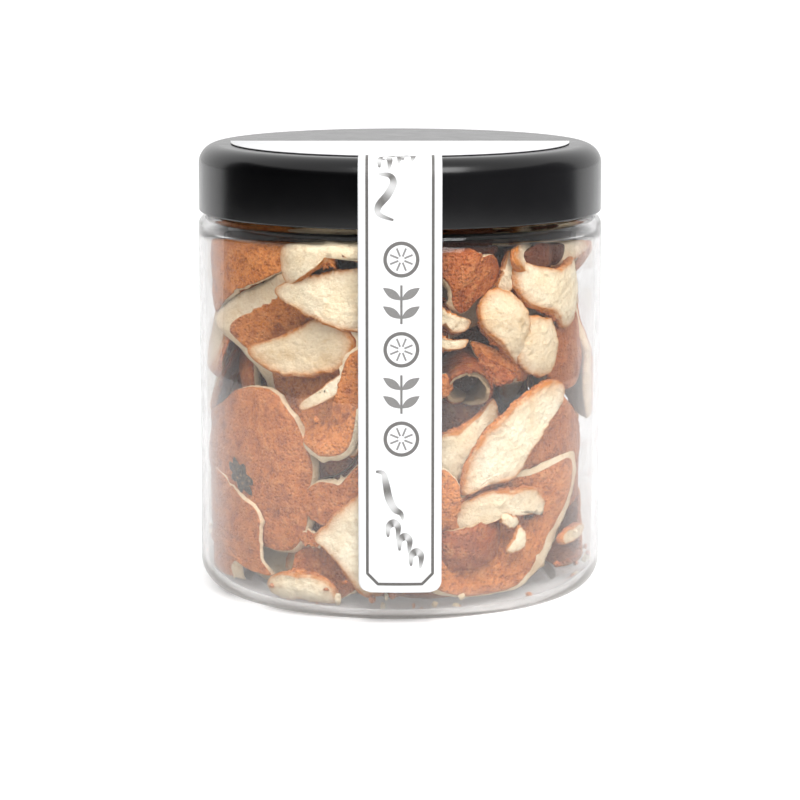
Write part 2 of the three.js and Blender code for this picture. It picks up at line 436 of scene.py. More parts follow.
def dried_peel(settings):
    """Dried peel: pored orange-brown rind, creamy pith, and a browned line where they meet.

    A point's pith is 0 on the rind and 1 on the pith, its tone runs from pale at 0 through dark
    at 1 to near black at 2, and its edge is how far a pith rim has browned. Tone above 1 is the
    dark colour of some pieces and painted shade on pieces set in dark hollows, and points further
    in from the wall get painted shade.
    """
    material, tree, out = new_material("dried_orange_peel")
    side = attribute(tree, "pith")
    tone = attribute(tree, "tone")
    edge = attribute(tree, "edge")
    coords = node(tree, "ShaderNodeTexCoord").outputs["Object"]
    patches = object_noise(tree, 130, 3)
    mottle = object_noise(tree, 420, 5, 0.65)

    rind = tuple(settings.rind_color)
    deep = mixed(tree, tone, (0.70, 0.25, 0.06), (0.33, 0.07, 0.014))
    pale = math_node(tree, "MULTIPLY", ramp(tree, patches, [(0.38, grey(0)), (0.66, grey(0.8))]),
                     math_node(tree, "SUBTRACT", 1.0, math_node(tree, "MULTIPLY", tone, 0.7), clamp=True))
    skin = mixed(tree, pale, deep, rind)
    skin = mixed(tree, ramp(tree, mottle, [(0.34, grey(0.75)), (0.5, grey(0))]), skin, (0.26, 0.06, 0.02))
    skin = mixed(tree, ramp(tree, mottle, [(0.52, grey(0)), (0.72, grey(0.7))]), skin, (0.70, 0.32, 0.12))
    pores = node(tree, "ShaderNodeTexVoronoi", {"Vector": coords, "Scale": 1250, "Randomness": 0.9})
    pits = ramp(tree, pores.outputs["Distance"], [(0.12, grey(1)), (0.55, grey(0))])
    grain = object_noise(tree, 2300, 4, 0.7)
    skin = mixed(tree, math_node(tree, "MULTIPLY", pits, 0.24), skin, (0.17, 0.038, 0.014))
    skin = mixed(tree, ramp(tree, grain, [(0.36, grey(0.6)), (0.5, grey(0))]), skin, (0.24, 0.055, 0.018))
    skin = mixed(tree, ramp(tree, grain, [(0.52, grey(0)), (0.66, grey(0.4))]), skin, (0.74, 0.34, 0.12))

    yellowed = ramp(tree, patches, [(0.3, grey(0)), (0.75, grey(1))])
    cream = mixed(tree, yellowed, (0.98, 0.89, 0.69), tuple(settings.pith_color))
    stain = ramp(tree, object_noise(tree, 170, 4, 0.62), [(0.52, grey(0)), (0.72, grey(0.6))])
    cream = mixed(tree, stain, cream, (0.66, 0.43, 0.21))
    fleck = ramp(tree, object_noise(tree, 700, 4, 0.65), [(0.56, grey(0)), (0.72, grey(0.6))])
    cream = mixed(tree, fleck, cream, (0.58, 0.36, 0.17))
    fuzz = ramp(tree, object_noise(tree, 2000, 5, 0.8), [(0.42, grey(0.35)), (0.52, grey(0))])
    cream = mixed(tree, fuzz, cream, (0.72, 0.52, 0.29))
    cream = mixed(tree, math_node(tree, "MULTIPLY", tone, 0.6), cream, (0.62, 0.42, 0.22))
    patchy = ramp(tree, mottle, [(0.3, grey(0.5)), (0.55, grey(1))])
    browned = math_node(tree, "MULTIPLY", edge, patchy, clamp=True)
    cream = mixed(tree, browned, cream, (0.56, 0.2, 0.04))

    wander = math_node(tree, "MULTIPLY", math_node(tree, "SUBTRACT", mottle, 0.5), 0.5)
    is_pith = ramp(tree, math_node(tree, "ADD", side, wander), [(0.45, grey(0)), (0.62, grey(1))])
    tint = mixed(tree, is_pith, skin, cream)
    # Tone above 1 darkens towards near black: dark colour of some pieces, painted shade on pieces in hollows.
    near_black_and_hollow_shade = math_node(tree, "SUBTRACT", tone, 1.0, clamp=True)
    tint = mixed(tree, near_black_and_hollow_shade, tint, (0.045, 0.017, 0.011))
    place = node(tree, "ShaderNodeSeparateXYZ", {0: coords}).outputs
    across = node(tree, "ShaderNodeCombineXYZ", {"X": place["X"], "Y": place["Y"]}).outputs[0]
    reach = node(tree, "ShaderNodeVectorMath", {0: across}, operation="LENGTH").outputs["Value"]
    # Painted shade: the further a point lies in from the wall, the darker it is painted.
    painted_depth_shade = node(
        tree, "ShaderNodeMapRange",
        {"Value": reach, "From Min": 0.028, "From Max": 0.0385, "To Min": 0.72, "To Max": 0.0},
    ).outputs[0]
    tint = mixed(tree, painted_depth_shade, tint, (0.035, 0.016, 0.009))

    bumps = math_node(tree, "MULTIPLY", mottle, 2.0)
    pore_relief = math_node(tree, "ADD", math_node(tree, "SUBTRACT", 1.0, pits), bumps)
    pith_relief = math_node(tree, "MULTIPLY", object_noise(tree, 820, 5, 0.68), 2.9)
    relief = mixed(tree, is_pith, pore_relief, pith_relief)
    bump = node(tree, "ShaderNodeBump", {"Height": relief, "Strength": 1.0, "Distance": 0.0003}).outputs[0]
    rough = node(tree, "ShaderNodeMapRange", {"Value": is_pith, "To Min": 0.55, "To Max": 0.95}).outputs[0]
    rough = math_node(tree, "SUBTRACT", rough, math_node(tree, "MULTIPLY", near_black_and_hollow_shade, 0.4))
    shader = node(
        tree, "ShaderNodeBsdfPrincipled",
        {"Base Color": tint, "Roughness": rough, "Normal": bump, "Specular IOR Level": 0.12},
    )
    tree.links.new(shader.outputs[0], out.inputs["Surface"])
    return material


def stem_scar():
    """Dry dark stem scar."""
    material, tree, out = new_material("dry_stem_scar")
    marks = object_noise(tree, 1300, 5, 0.7)
    stops = [(0.38, (0.012, 0.010, 0.007)), (0.55, (0.07, 0.05, 0.03)), (0.68, (0.36, 0.2, 0.1))]
    tint = ramp(tree, marks, stops)
    bump = node(tree, "ShaderNodeBump", {"Height": marks, "Strength": 0.8, "Distance": 0.0003}).outputs[0]
    shader = node(tree, "ShaderNodeBsdfPrincipled", {"Base Color": tint, "Roughness": 0.85, "Normal": bump})
    tree.links.new(shader.outputs[0], out.inputs["Surface"])
    return material


# ---- Peel sheets ----


def inner_radius(z):
    """Radius of the jar's inner wall at a height."""
    heel_z = BASE + INNER_HEEL
    shoulder_z = SHOULDER_Z - WALL - INNER_SHOULDER
    if z < heel_z:
        drop = min(heel_z - z, INNER_HEEL)
        return INNER_R - INNER_HEEL + math.sqrt(INNER_HEEL**2 - drop**2)
    if z > shoulder_z:
        rise = min(z - shoulder_z, INNER_SHOULDER)
        return MOUTH_R + math.sqrt(INNER_SHOULDER**2 - rise**2)
    return INNER_R


def inner_floor(r):
    """Height of the jar's inner floor at a radius."""
    return BASE + DOME_RISE * math.cos(min(r / FOOT_INNER, 1) * math.pi / 2)


def wall_point(s, z, depth):
    """The point that lies depth inside the wall at (s, z), in millimetres."""
    angle = s / INNER_R
    r = inner_radius(z) - depth
    return Vector((r * math.sin(angle), -r * math.cos(angle), z))


def keep_inside(point):
    """Moves a point that would touch the wall or the floor just inside them."""
    clear = 0.12
    point.z = min(point.z, HEAP_HIGH.z / MM)
    r = math.hypot(point.x, point.y)
    most = inner_radius(point.z) - clear
    if r > most:
        point.x *= most / r
        point.y *= most / r
    point.z = max(point.z, inner_floor(min(r, most)) + clear)
    return point


def smooth_outline(points):
    """The middle of a closed outline and its radius as a smooth function of direction."""
    ring = np.array(points, float)
    count, dense = len(ring), []
    for i in range(count):
        a, b, c, d = (ring[(i + k) % count] for k in (-1, 0, 1, 2))
        dense += [spline(a, b, c, d, q) for q in np.arange(0, 1, 0.1)]
    dense = np.array(dense)
    middle = (dense.min(0) + dense.max(0)) / 2 * 0.5 + dense.mean(0) * 0.5
    offsets = dense - middle
    angles = np.arctan2(offsets[:, 1], offsets[:, 0])
    radii = np.hypot(offsets[:, 0], offsets[:, 1])
    order = np.argsort(angles)
    angles, radii = angles[order], radii[order]

    def radius(angle):
        return float(np.interp(angle, angles, radii, period=2 * math.pi))

    return Vector(middle), radius


def lobed_outline(width, height, lobes, depth, turn, rng):
    """A rounded outline with a few corners, as its radius by direction."""
    phases = [rng.uniform(0, 2 * math.pi) for _ in range(3)]

    def radius(angle):
        a = angle - turn
        base = 1 / math.sqrt((math.cos(a) / width) ** 2 + (math.sin(a) / height) ** 2)
        corner = 1 + depth * math.cos(lobes * a + phases[0])
        return base * corner * (1 + 0.045 * math.sin(5 * a + phases[1]) + 0.02 * math.sin(9 * a + phases[2]))

    return radius


class Heap:
    """Peel sheets that are joined into one mesh, and the points that later sheets avoid."""

    taken = []

    def __init__(self):
        """Starts an empty mesh. tau runs from 0 on a sheet's front to 1 on its back."""
        self.bm = bmesh.new()
        floats = self.bm.verts.layers.float
        self.pith = floats.new("pith")
        self.tone = floats.new("tone")
        self.edge = floats.new("edge")
        self.tau = floats.new("tau")
        self.out = self.bm.verts.layers.float_vector.new("out")

    def sheet(self, place, radius, rind_out, tone=0.4, cells=40, thickness=2.4, lip=0.8, lip_to=None,
              lip_more=0.0, rough=1.0, crust=0.3, seed=0):
        """Adds one closed sheet. place(a, b) gives a point of its front for a place in millimetres.

        radius(angle) is the sheet's outline. lip is how far the back stands out past the front all
        round, and lip_more is added to it towards the direction lip_to, in degrees. crust is the
        share of a rind-out rim that is rind. rough scales the lumps and the raggedness.
        """
        bm = self.bm
        shift = Vector((seed * 17.3, seed * 5.1, seed * 9.7))
        grid = bmesh.ops.create_grid(bm, x_segments=cells, y_segments=cells, size=1.0)["verts"]
        faces = list({f for v in grid for f in v.link_faces})
        front_edges = list({e for v in grid for e in v.link_edges})
        reach = {}
        for v in grid:
            rho, angle = disc_place(v.co.x, v.co.y)
            across, up = math.cos(angle), math.sin(angle)
            ragged = noise.noise(Vector((across * 3, up * 3, seed * 1.7))) * 0.7 * rough
            ragged += noise.noise(Vector((across * 11, up * 11, seed * 3.1))) * 0.45 * rough
            extra = 0.0
            if lip_to is not None:
                extra = lip_more * max(0.0, math.cos(angle - math.radians(lip_to))) ** 1.5
            size = radius(angle) + ragged
            wide = (lip + extra) * (1 + 0.6 * ragged) * (1.0 if rind_out else 1.35)
            r = max(size - wide, 0.3) * rho
            direction = Vector((across, up))
            here = place(direction.x * r, direction.y * r)
            there = place(direction.x * (r + 0.4), direction.y * (r + 0.4))
            v.co = here
            v[self.out] = (there - here).normalized()
            reach[v] = (rho, wide)
        for f in faces:
            f.normal_update()
        for v in grid:
            v.normal_update()
        normals = {v: v.normal.copy() for v in grid}

        copied = bmesh.ops.duplicate(bm, geom=grid + front_edges + faces)
        back = {v: copied["vert_map"][v] for v in grid}
        back_faces = [g for g in copied["geom"] if isinstance(g, bmesh.types.BMFace)]
        back_edges = [g for g in copied["geom"] if isinstance(g, bmesh.types.BMEdge)]
        front_is_pith = 0.0 if rind_out else 1.0
        browned = 0.12 if rind_out else 1.0
        for v in grid:
            rho, wide = reach[v]
            other = back[v]
            thin = thickness * (1 - 0.25 * rho**6)
            other.co = v.co - normals[v] * thin + Vector(v[self.out]) * wide * rho**7
            for w, is_pith, sign in ((v, front_is_pith, 1), (other, 1 - front_is_pith, -1)):
                p = w.co * 0.16 + shift
                lumps = noise.noise(p) * 0.55 + noise.noise(p * 2.9) * 0.2
                if is_pith:
                    lumps += noise.noise(p * 4.5) * 0.24 + noise.noise(p * 9) * 0.12
                else:
                    lumps += noise.noise(p * 8) * 0.05
                w.co += normals[v] * sign * lumps * rough
                keep_inside(w.co)
                w[self.edge] = rho**8 * browned
            v[self.tau], other[self.tau] = 0.0, 1.0
        step = max(1, len(grid) // 400)
        Heap.taken += [(v.co - normals[v] * thickness / 2) for v in grid[::step]]
        bmesh.ops.reverse_faces(bm, faces=back_faces)
        rims = [e for e in front_edges + back_edges if e.is_boundary]
        bridged = bmesh.ops.bridge_loops(bm, edges=rims)
        cut = bmesh.ops.subdivide_edges(bm, edges=bridged["edges"], cuts=3, use_grid_fill=True)
        inner = [g for g in cut["geom_inner"] if isinstance(g, bmesh.types.BMVert)]
        for v in inner:
            bulge = math.sin(math.pi * v[self.tau]) * 0.3
            v.co += Vector(v[self.out]) * bulge
            keep_inside(v.co)
            v[self.edge] = browned
        rim_faces = {f for v in inner for f in v.link_faces}
        rim_verts = {v for f in rim_faces for v in f.verts}
        bmesh.ops.smooth_vert(
            bm, verts=list(rim_verts), factor=0.35, use_axis_x=True, use_axis_y=True, use_axis_z=True
        )
        touched = list({*faces, *back_faces, *rim_faces})
        for v in {v for f in touched for v in f.verts}:
            from_rind = v[self.tau] if rind_out else 1 - v[self.tau]
            share = from_rind / crust if rind_out else (from_rind - 0.5) / 0.3
            v[self.pith] = min(1.0, max(0.0, share))
            v[self.tone] = tone
        bmesh.ops.recalc_face_normals(bm, faces=touched)

    def finish(self, name, material, replaced=()):
        """Turns the sheets into one piece in metres, without the layers that only shaped it."""
        self.bm.verts.layers.float_vector.remove(self.bm.verts.layers.float_vector["out"])
        self.bm.verts.layers.float.remove(self.bm.verts.layers.float["tau"])
        bmesh.ops.scale(self.bm, vec=(MM, MM, MM), verts=self.bm.verts)
        return finish_mesh(self.bm, name, material, replaced)


def wall_place(middle, depth, bend=0.0, lean_s=0.0, lean_z=0.0, size=12.0, fold=0.0, fold_angle=0.0):
    """How a sheet lies against the wall: a place in its own plane to a point in the jar.

    bend is how much deeper its edge lies than its middle, at a distance of size. lean_s and
    lean_z tip it inwards to the right and upwards. fold raises a soft crease through its middle.
    """
    cos_f, sin_f = math.cos(math.radians(fold_angle)), math.sin(math.radians(fold_angle))

    def place(a, b):
        across = abs(a * cos_f + b * sin_f)
        deep = depth + bend * (a * a + b * b) / size**2 + lean_s * a + lean_z * b
        deep += fold * across / size
        return wall_point(middle[0] + a, middle[1] + b, max(deep, 0.15))

    return place


# Pieces that lie against the front wall: the side that faces out, the outline on the wall as
# (s, z) points, how the piece lies (see wall_place) and how it looks (see Heap.sheet).
FRONT_PIECES = {
    "amber_rind": (
        "rind",
        [
            (-67, 78), (-56, 84.5), (-40, 86), (-29.5, 86), (-28, 80), (-28.5, 77), (-36, 73.6),
            (-44, 70.8), (-51, 67), (-57, 64.5), (-64, 70),
        ],
        dict(depth=0.9, bend=0.9, lean_s=0.05),
        dict(tone=0.1, lip=0.3),
    ),
    "top_left_pith": (
        "pith",
        [
            (-29.5, 84.5), (-24, 87), (-12, 88), (-2, 87), (-3, 79.5), (-9, 79.5), (-14, 79.8),
            (-19, 77.3), (-24, 74.5), (-28, 72.8), (-30, 76),
        ],
        dict(depth=0.3, bend=1.0, lean_z=0.03),
        dict(tone=0.22, lip=0.6, lip_to=-70, lip_more=1.5, thickness=2.0),
    ),
    "fold_pith": (
        "pith",
        [
            (-33, 71.5), (-27, 74.5), (-20, 76.5), (-10, 78), (-2, 77), (-2, 68), (-8, 64.3),
            (-14, 64.6), (-20, 66.5), (-26, 68.8),
        ],
        dict(depth=1.6, bend=0.6, lean_z=0.12),
        dict(tone=0.22, lip=0.3, thickness=1.8),
    ),
    "big_bowl": (
        "rind",
        [
            (-29, 76), (-38, 72.8), (-47, 69), (-53, 63), (-48, 56.5), (-43, 52), (-38, 46), (-30, 40),
            (-21, 36.5), (-15, 35.5), (-10, 38.5), (-8, 50), (-9, 62), (-15, 70), (-23, 73.5),
        ],
        dict(depth=10.0, bend=-7.6),
        dict(tone=0.08, lip=1.9, lip_to=150, lip_more=4.2, thickness=2.2, cells=56),
    ),
    # Its tan tone is partly the pith's own colour, partly painted shade of the bowl it lies in.
    "lens_pith": (
        "pith",
        [
            (-39.5, 58.5), (-33, 61), (-27, 63.5), (-21, 66.3), (-15, 66), (-11, 63), (-11.5, 58),
            (-16, 55), (-23, 53.4), (-30, 53), (-36, 55),
        ],
        dict(depth=4.6, bend=-1.2, lean_z=0.05),
        dict(tone=0.62, lip=0.4, thickness=2.0),
    ),
    "thin_sliver": (
        "pith",
        [
            (-23.5, 47.8), (-18, 51.4), (-9.5, 57.5), (-8.5, 55.4), (-14.5, 50.2), (-22.6, 46.2),
        ],
        dict(depth=1.5),
        dict(tone=0.1, lip=0.05, thickness=1.4, cells=22, rough=0.02),
    ),
    "label_side_rind": (
        "rind",
        [
            (-13, 59.5), (-9, 62.5), (-3, 61), (-3, 44), (-8, 43.5), (-15.5, 44.5), (-14.5, 52),
        ],
        dict(depth=0.7, bend=0.8),
        dict(tone=0.3, lip=0.4, lip_to=95, lip_more=2.2),
    ),
    "bowl_tip_pith": (
        "pith",
        [
            (-14.5, 46), (-8, 46), (-7, 41), (-11, 36.3), (-14, 38.5), (-15.2, 42),
        ],
        dict(depth=2.2, bend=0.8),
        dict(tone=0.2, lip=0.3, thickness=1.8, cells=26),
    ),
    "big_disc": (
        "rind",
        [
            (-50, 46), (-45, 49), (-38, 50.3), (-32, 49), (-27, 44.5), (-23, 39), (-20.8, 33),
            (-21.5, 28), (-22, 23), (-23, 18.5), (-26, 14), (-30, 12.4), (-36, 13.2), (-43, 16),
            (-52, 20), (-61, 26), (-66, 33), (-61, 41),
        ],
        dict(depth=1.15, bend=1.5, lean_s=0.1),
        dict(tone=0.5, lip=0.45, lip_to=-22, lip_more=1.5, cells=56, thickness=2.6),
    ),
    "corner_fold": (
        "rind",
        [
            (-53, 29.5), (-46, 28), (-40, 25), (-35, 22.2), (-34.6, 17), (-34.4, 11), (-31, 8.2),
            (-37, 8.2), (-44, 10), (-51, 11), (-59, 13), (-66, 19), (-62, 27),
        ],
        dict(depth=0.15, bend=0.5),
        dict(tone=0.5, lip=0.35, lip_to=60, lip_more=0.5, thickness=1.7),
    ),
    "foot_left_rind": (
        "rind",
        [
            (-64, 12), (-54, 12.8), (-44.5, 12.5), (-43, 10.8), (-44, 8), (-44, 4.2), (-48, 3),
            (-56, 3), (-63, 5),
        ],
        dict(depth=0.6, bend=0.6),
        dict(tone=0.5, lip=0.5, lip_to=-15, lip_more=3.2),
    ),
    "foot_pith": (
        "pith",
        [
            (-33, 7.2), (-33.7, 4.5), (-32, 3), (-26, 3.6), (-20, 3.4), (-15.5, 3), (-14.3, 5),
            (-15.6, 8), (-19.5, 10.3), (-25, 10.8), (-30, 9),
        ],
        dict(depth=0.3, bend=0.4),
        dict(tone=0.1, lip=0.3, lip_to=80, lip_more=1.1, thickness=2.2),
    ),
    "label_foot_pith": (
        "pith",
        [
            (-20, 18), (-17, 21.5), (-13.5, 25.5), (-9, 28.6), (-3, 30), (3, 27), (3, 15), (-3, 7),
            (-7, 4.3), (-9, 5.4), (-12, 9), (-15, 13), (-18, 16.3),
        ],
        dict(depth=0.3, bend=0.6),
        dict(tone=0.1, lip=0.3, lip_to=-90, lip_more=0.9),
    ),
    "rolled_rim_rind": (
        "rind",
        [
            (-25, 24), (-24, 28), (-20, 30.6), (-14, 31.6), (-9, 35.5), (-3, 37), (-3, 27), (-9, 22),
            (-15, 20.5), (-21, 21),
        ],
        dict(depth=3.0, bend=0.5),
        dict(tone=0.6, lip=0.3, lip_to=110, lip_more=1.6, thickness=2.0),
    ),
    "small_red_tip": (
        "rind",
        [
            (-26, 17.5), (-23, 19), (-19.2, 17.6), (-20, 15.7), (-24, 15.3),
        ],
        dict(depth=4.2),
        dict(tone=0.6, lip=0.4, thickness=1.6, cells=20),
    ),
    "left_wall_rind": (
        "rind",
        [
            (-59, 56), (-54, 58.5), (-50, 56.5), (-47.5, 52), (-48, 47), (-54, 45.5), (-59, 49),
        ],
        dict(depth=6.5, bend=0.8),
        dict(tone=0.8, lip=0.4),
    ),
    "top_right_rind": (
        "rind",
        [
            (3, 84), (8, 84.6), (13, 83.4), (17, 82.4), (19.5, 80.4), (22, 80.5), (25, 78.5),
            (25.8, 75.5), (23, 73), (19.5, 71), (15.5, 67), (12, 68.3), (9.4, 74), (6, 79),
        ],
        dict(depth=0.5, bend=1.2, fold=2.2, fold_angle=-35),
        dict(tone=0.95, lip=0.4, lip_to=215, lip_more=1.6),
    ),
    # A near-black sheet deep inside: painted shade of the hollow behind the top right piece.
    "top_hollow_shade_rind": (
        "rind",
        [
            (11, 88), (27, 88), (26.5, 82), (24, 79), (18, 78), (13, 80),
        ],
        dict(depth=6.0),
        dict(tone=1.7, lip=0.4),
    ),
    "tan_lip_pith": (
        "pith",
        [
            (4, 71.5), (9, 69.8), (13, 67.8), (17.3, 66), (16.5, 63.8), (13, 62.6), (9, 64.6), (4, 67),
        ],
        dict(depth=1.7, bend=0.8),
        dict(tone=0.5, lip=0.3, lip_to=-90, lip_more=1.2),
    ),
    "layered_edge_pith": (
        "pith",
        [
            (2, 66), (7, 65), (11, 62.6), (16, 62.2), (14.5, 60.2), (9.5, 59.5), (2, 58.5),
        ],
        dict(depth=1.0, bend=0.4),
        dict(tone=0.3, lip=0.3, lip_to=-90, lip_more=0.9, thickness=1.6),
    ),
    "nugget_left": (
        "pith",
        [
            (17.5, 66.5), (18.8, 71), (23, 73.4), (27.5, 71.8), (30.7, 68.5), (32.6, 63), (33.5, 58),
            (30.5, 55), (25, 58), (19.8, 62),
        ],
        dict(depth=0.2, bend=1.8),
        dict(tone=0.6, lip=0.3, lip_to=215, lip_more=1.2, thickness=3.0),
    ),
    "nugget_right": (
        "pith",
        [
            (29.5, 66.5), (35, 66.2), (40.3, 65.3), (42.7, 61), (42.6, 56.5), (41, 53.3), (37, 51.9),
            (33, 52.6), (29, 56), (28, 62),
        ],
        dict(depth=0.7, bend=1.6, lean_s=-0.04),
        dict(tone=0.6, lip=0.3, lip_to=0, lip_more=0.8, thickness=3.0),
    ),
    "nugget_under_rind": (
        "rind",
        [
            (18.5, 61.5), (24, 59.5), (31, 56), (38, 53), (37, 51.2), (32, 51), (27, 52.8), (22, 56),
            (18.8, 59),
        ],
        dict(depth=3.4, bend=0.6),
        dict(tone=0.5, lip=0.3, lip_to=-100, lip_more=1.2, thickness=1.8),
    ),
    "cup_front": (
        "pith",
        [
            (28.2, 76), (29.6, 78.8), (34, 77.4), (40, 76.4), (46, 76.8), (53, 78), (56.5, 74),
            (53, 67), (48.5, 62.8), (44.5, 61.8), (41.5, 64), (37, 66), (32, 68), (28.6, 71.5),
        ],
        dict(depth=0.3, bend=1.6),
        dict(tone=0.1, lip=0.3, lip_to=225, lip_more=1.0, thickness=2.4),
    ),
    "cup_back": (
        "pith",
        [
            (27.5, 80), (31, 84), (38, 87), (47, 87), (55, 84.5), (57, 79), (50, 76), (40, 75),
            (31, 76),
        ],
        dict(depth=5.2, bend=-1.6),
        dict(tone=0.25, lip=0.4),
    ),
    # Near-black tone: partly the dark brown rind inside the cup, partly painted shade of its hollow.
    "cup_heart": (
        "rind",
        [
            (30.5, 79), (34, 82.6), (38.5, 84.4), (42.6, 83.4), (43, 78), (38, 75), (32, 76),
        ],
        dict(depth=1.6, bend=1.8),
        dict(tone=1.75, lip=0.3, thickness=1.8, cells=24),
    ),
    # Near-black tone: partly the dark brown rind inside the cup, partly painted shade of its hollow.
    "cup_heart_right": (
        "rind",
        [
            (42, 81), (44.5, 84), (48, 83.8), (49.4, 80), (47.5, 76), (42, 76),
        ],
        dict(depth=3.0, bend=1.4),
        dict(tone=1.85, lip=0.3, thickness=1.6, cells=22),
    ),
    "cup_side_pith": (
        "pith",
        [
            (24.8, 73.2), (26.6, 77.5), (28.2, 81.5), (30, 78), (29, 72.5), (26.5, 71),
        ],
        dict(depth=4.2),
        dict(tone=0.6, lip=0.2, thickness=1.6, cells=22),
    ),
    "right_wall_rind": (
        "rind",
        [
            (50, 65), (54, 69), (58, 66), (63, 61), (65, 55), (62, 49), (55, 47), (48, 48), (43, 51),
            (41.5, 56), (43, 62),
        ],
        dict(depth=2.6, bend=1.0, fold=1.0, fold_angle=60, lean_s=-0.08),
        dict(tone=0.65, lip=0.5),
    ),
    "small_nodule": (
        "rind",
        [
            (5, 54), (9.5, 55.2), (12.4, 53), (12, 50.6), (9, 49.2), (5, 50),
        ],
        dict(depth=0.9, bend=1.2),
        dict(tone=0.4, lip=0.3, thickness=2.2, cells=22),
    ),
    "long_blade": (
        "pith",
        [
            (34, 50.6), (40, 51.5), (43.5, 50.6), (45, 48), (42.5, 45.6), (38.5, 43), (35.5, 39),
            (33.5, 36.5), (31, 34.3), (28.5, 31), (25, 29.8), (20, 29.6), (15.5, 27.6), (13.8, 28.5),
            (14.6, 33), (17, 38.5), (21, 43), (27, 47.5),
        ],
        dict(depth=0.3, bend=0.3),
        dict(tone=0.05, lip=0.6, lip_to=-40, lip_more=0.5, cells=52),
    ),
    "behind_blade_pith": (
        "pith",
        [
            (3, 38), (9, 41.3), (15, 43.3), (20.5, 45.6), (24, 48.5), (26, 46), (24.5, 40), (20, 34.5),
            (14, 30.5), (8, 30), (3, 32),
        ],
        dict(depth=3.2, bend=0.8),
        dict(tone=0.35, lip=0.3, lip_to=115, lip_more=1.0, thickness=1.8),
    ),
    "label_side_oval": (
        "rind",
        [
            (2, 33), (7, 35), (11.5, 33.8), (14, 30.4), (14.2, 26), (12.6, 22), (9.5, 19.8), (4, 20),
            (1, 26),
        ],
        dict(depth=0.3, bend=1.3),
        dict(tone=0.15, lip=0.4, lip_to=60, lip_more=0.5),
    ),
    "right_dome": (
        "rind",
        [
            (36, 43.5), (41, 46.5), (46, 48.8), (52, 46), (59, 41), (66, 35), (66, 28), (58, 21),
            (50, 18), (44, 15.8), (38, 19), (34, 28), (32, 37),
        ],
        dict(depth=3.3, bend=1.4, lean_s=-0.1),
        dict(tone=0.6, lip=0.4, lip_to=50, lip_more=0.6, cells=50),
    ),
    "big_orange_disc": (
        "rind",
        [
            (27, 31), (34, 31.6), (41, 32.8), (48, 34.4), (50.5, 31), (51, 26), (48.5, 20), (45, 15),
            (41, 10.4), (36, 6.8), (30, 4.2), (24, 3.6), (17, 3.7), (11, 5.2), (6, 8), (2, 12), (6, 21),
            (15, 28),
        ],
        dict(depth=4.4, bend=-2.0),
        dict(tone=0.3, lip=1.4, lip_to=-8, lip_more=3.4, cells=60, thickness=1.6),
    ),
    "crescent_pith": (
        "pith",
        [
            (10, 20), (12.5, 23.5), (15, 26.3), (20, 28.3), (26, 28.9), (33, 28.4), (38, 26.3),
            (41.2, 22), (40.3, 20.3), (36, 21.7), (30, 22), (24, 22), (16, 20),
        ],
        dict(depth=1.0, bend=0.5, lean_z=-0.03),
        dict(tone=0.3, lip=0.3, lip_to=70, lip_more=0.9, thickness=1.9),
    ),
    "red_brown_dome": (
        "rind",
        [
            (1, 18), (6, 20.5), (12, 20.6), (18, 21.6), (22.4, 24), (26, 21.8), (29, 19), (27, 15),
            (23, 12.8), (16, 10.9), (9, 11), (3, 13),
        ],
        dict(depth=0.2, bend=2.4),
        dict(tone=1.12, lip=0.3),
    ),
    "cream_bump": (
        "pith",
        [
            (23, 24), (27, 22.4), (28.8, 21), (28, 19.2), (25.4, 19.8), (23.3, 21.6),
        ],
        dict(depth=0.2, bend=0.8),
        dict(tone=0.3, lip=0.3, thickness=1.4, cells=18),
    ),
    "cream_chip": (
        "pith",
        [
            (28.5, 20.4), (30.3, 18), (30, 15.4), (27.6, 14), (24.9, 14.7), (26.6, 17.6),
        ],
        dict(depth=0.2, bend=0.3),
        dict(tone=0.05, lip=0.2, thickness=1.2, cells=20, rough=0.5),
    ),
    "tan_stick": (
        "pith",
        [
            (42.5, 15), (46, 16.5), (52, 17), (55, 15.8), (51, 13.6), (44, 13.2),
        ],
        dict(depth=0.8),
        dict(tone=0.7, lip=0.4, thickness=2.0, cells=20),
    ),
}


def build_front_pieces(material):
    """The pieces that press against the front wall, one mesh for each side out."""
    heaps = {"rind": Heap(), "pith": Heap()}
    for number, (side, points, lie, look) in enumerate(FRONT_PIECES.values()):
        middle, radius = smooth_outline(points)
        size = sum(radius(math.radians(a)) for a in range(0, 360, 30)) / 12
        place = wall_place(middle, size=size, **lie)
        heaps[side].sheet(place, radius, side == "rind", seed=number + 1, **look)
    heaps["rind"].finish("peel_front_rind_out", material, ["peel_heap"])
    heaps["pith"].finish("peel_front_pith_out", material)


def build_stem_scar(material):
    """The ridged scar where the stem sat, on the large disc."""
    rng = random.Random(3)
    bm = bmesh.new()
    bmesh.ops.create_grid(bm, x_segments=30, y_segments=30, size=1.0)
    scar_s, scar_z, turn = -42.3, 29.6, math.radians(-35)
    half_long, half_wide, ridges, depth, skin = 5.6, 3.1, 7, 0.75, 0.5
    phase = rng.uniform(0, 6)
    for v in bm.verts:
        rho, angle = disc_place(v.co.x, v.co.y)
        lobes = 0.5 + 0.5 * math.cos(ridges * angle + phase)
        r = rho * (0.62 + 0.38 * lobes)
        x, y = half_long * r * math.cos(angle), half_wide * r * math.sin(angle)
        height = 0.42 * math.exp(-((rho / 0.28) ** 2))
        height += 0.3 * lobes * math.sin(math.pi * min(rho, 1)) * rho
        height += 0.18 * noise.noise(Vector((x * 1.6, y * 1.6, 2)))
        s = scar_s + x * math.cos(turn) - y * math.sin(turn)
        z = scar_z + x * math.sin(turn) + y * math.cos(turn)
        v.co = wall_point(s, z, max(0.02, depth - height + 0.7 * rho**6)) * MM
    bmesh.ops.solidify(bm, geom=bm.faces[:], thickness=skin * MM)
    bmesh.ops.recalc_face_normals(bm, faces=bm.faces)
    finish_mesh(bm, "peel_stem_scar", material)


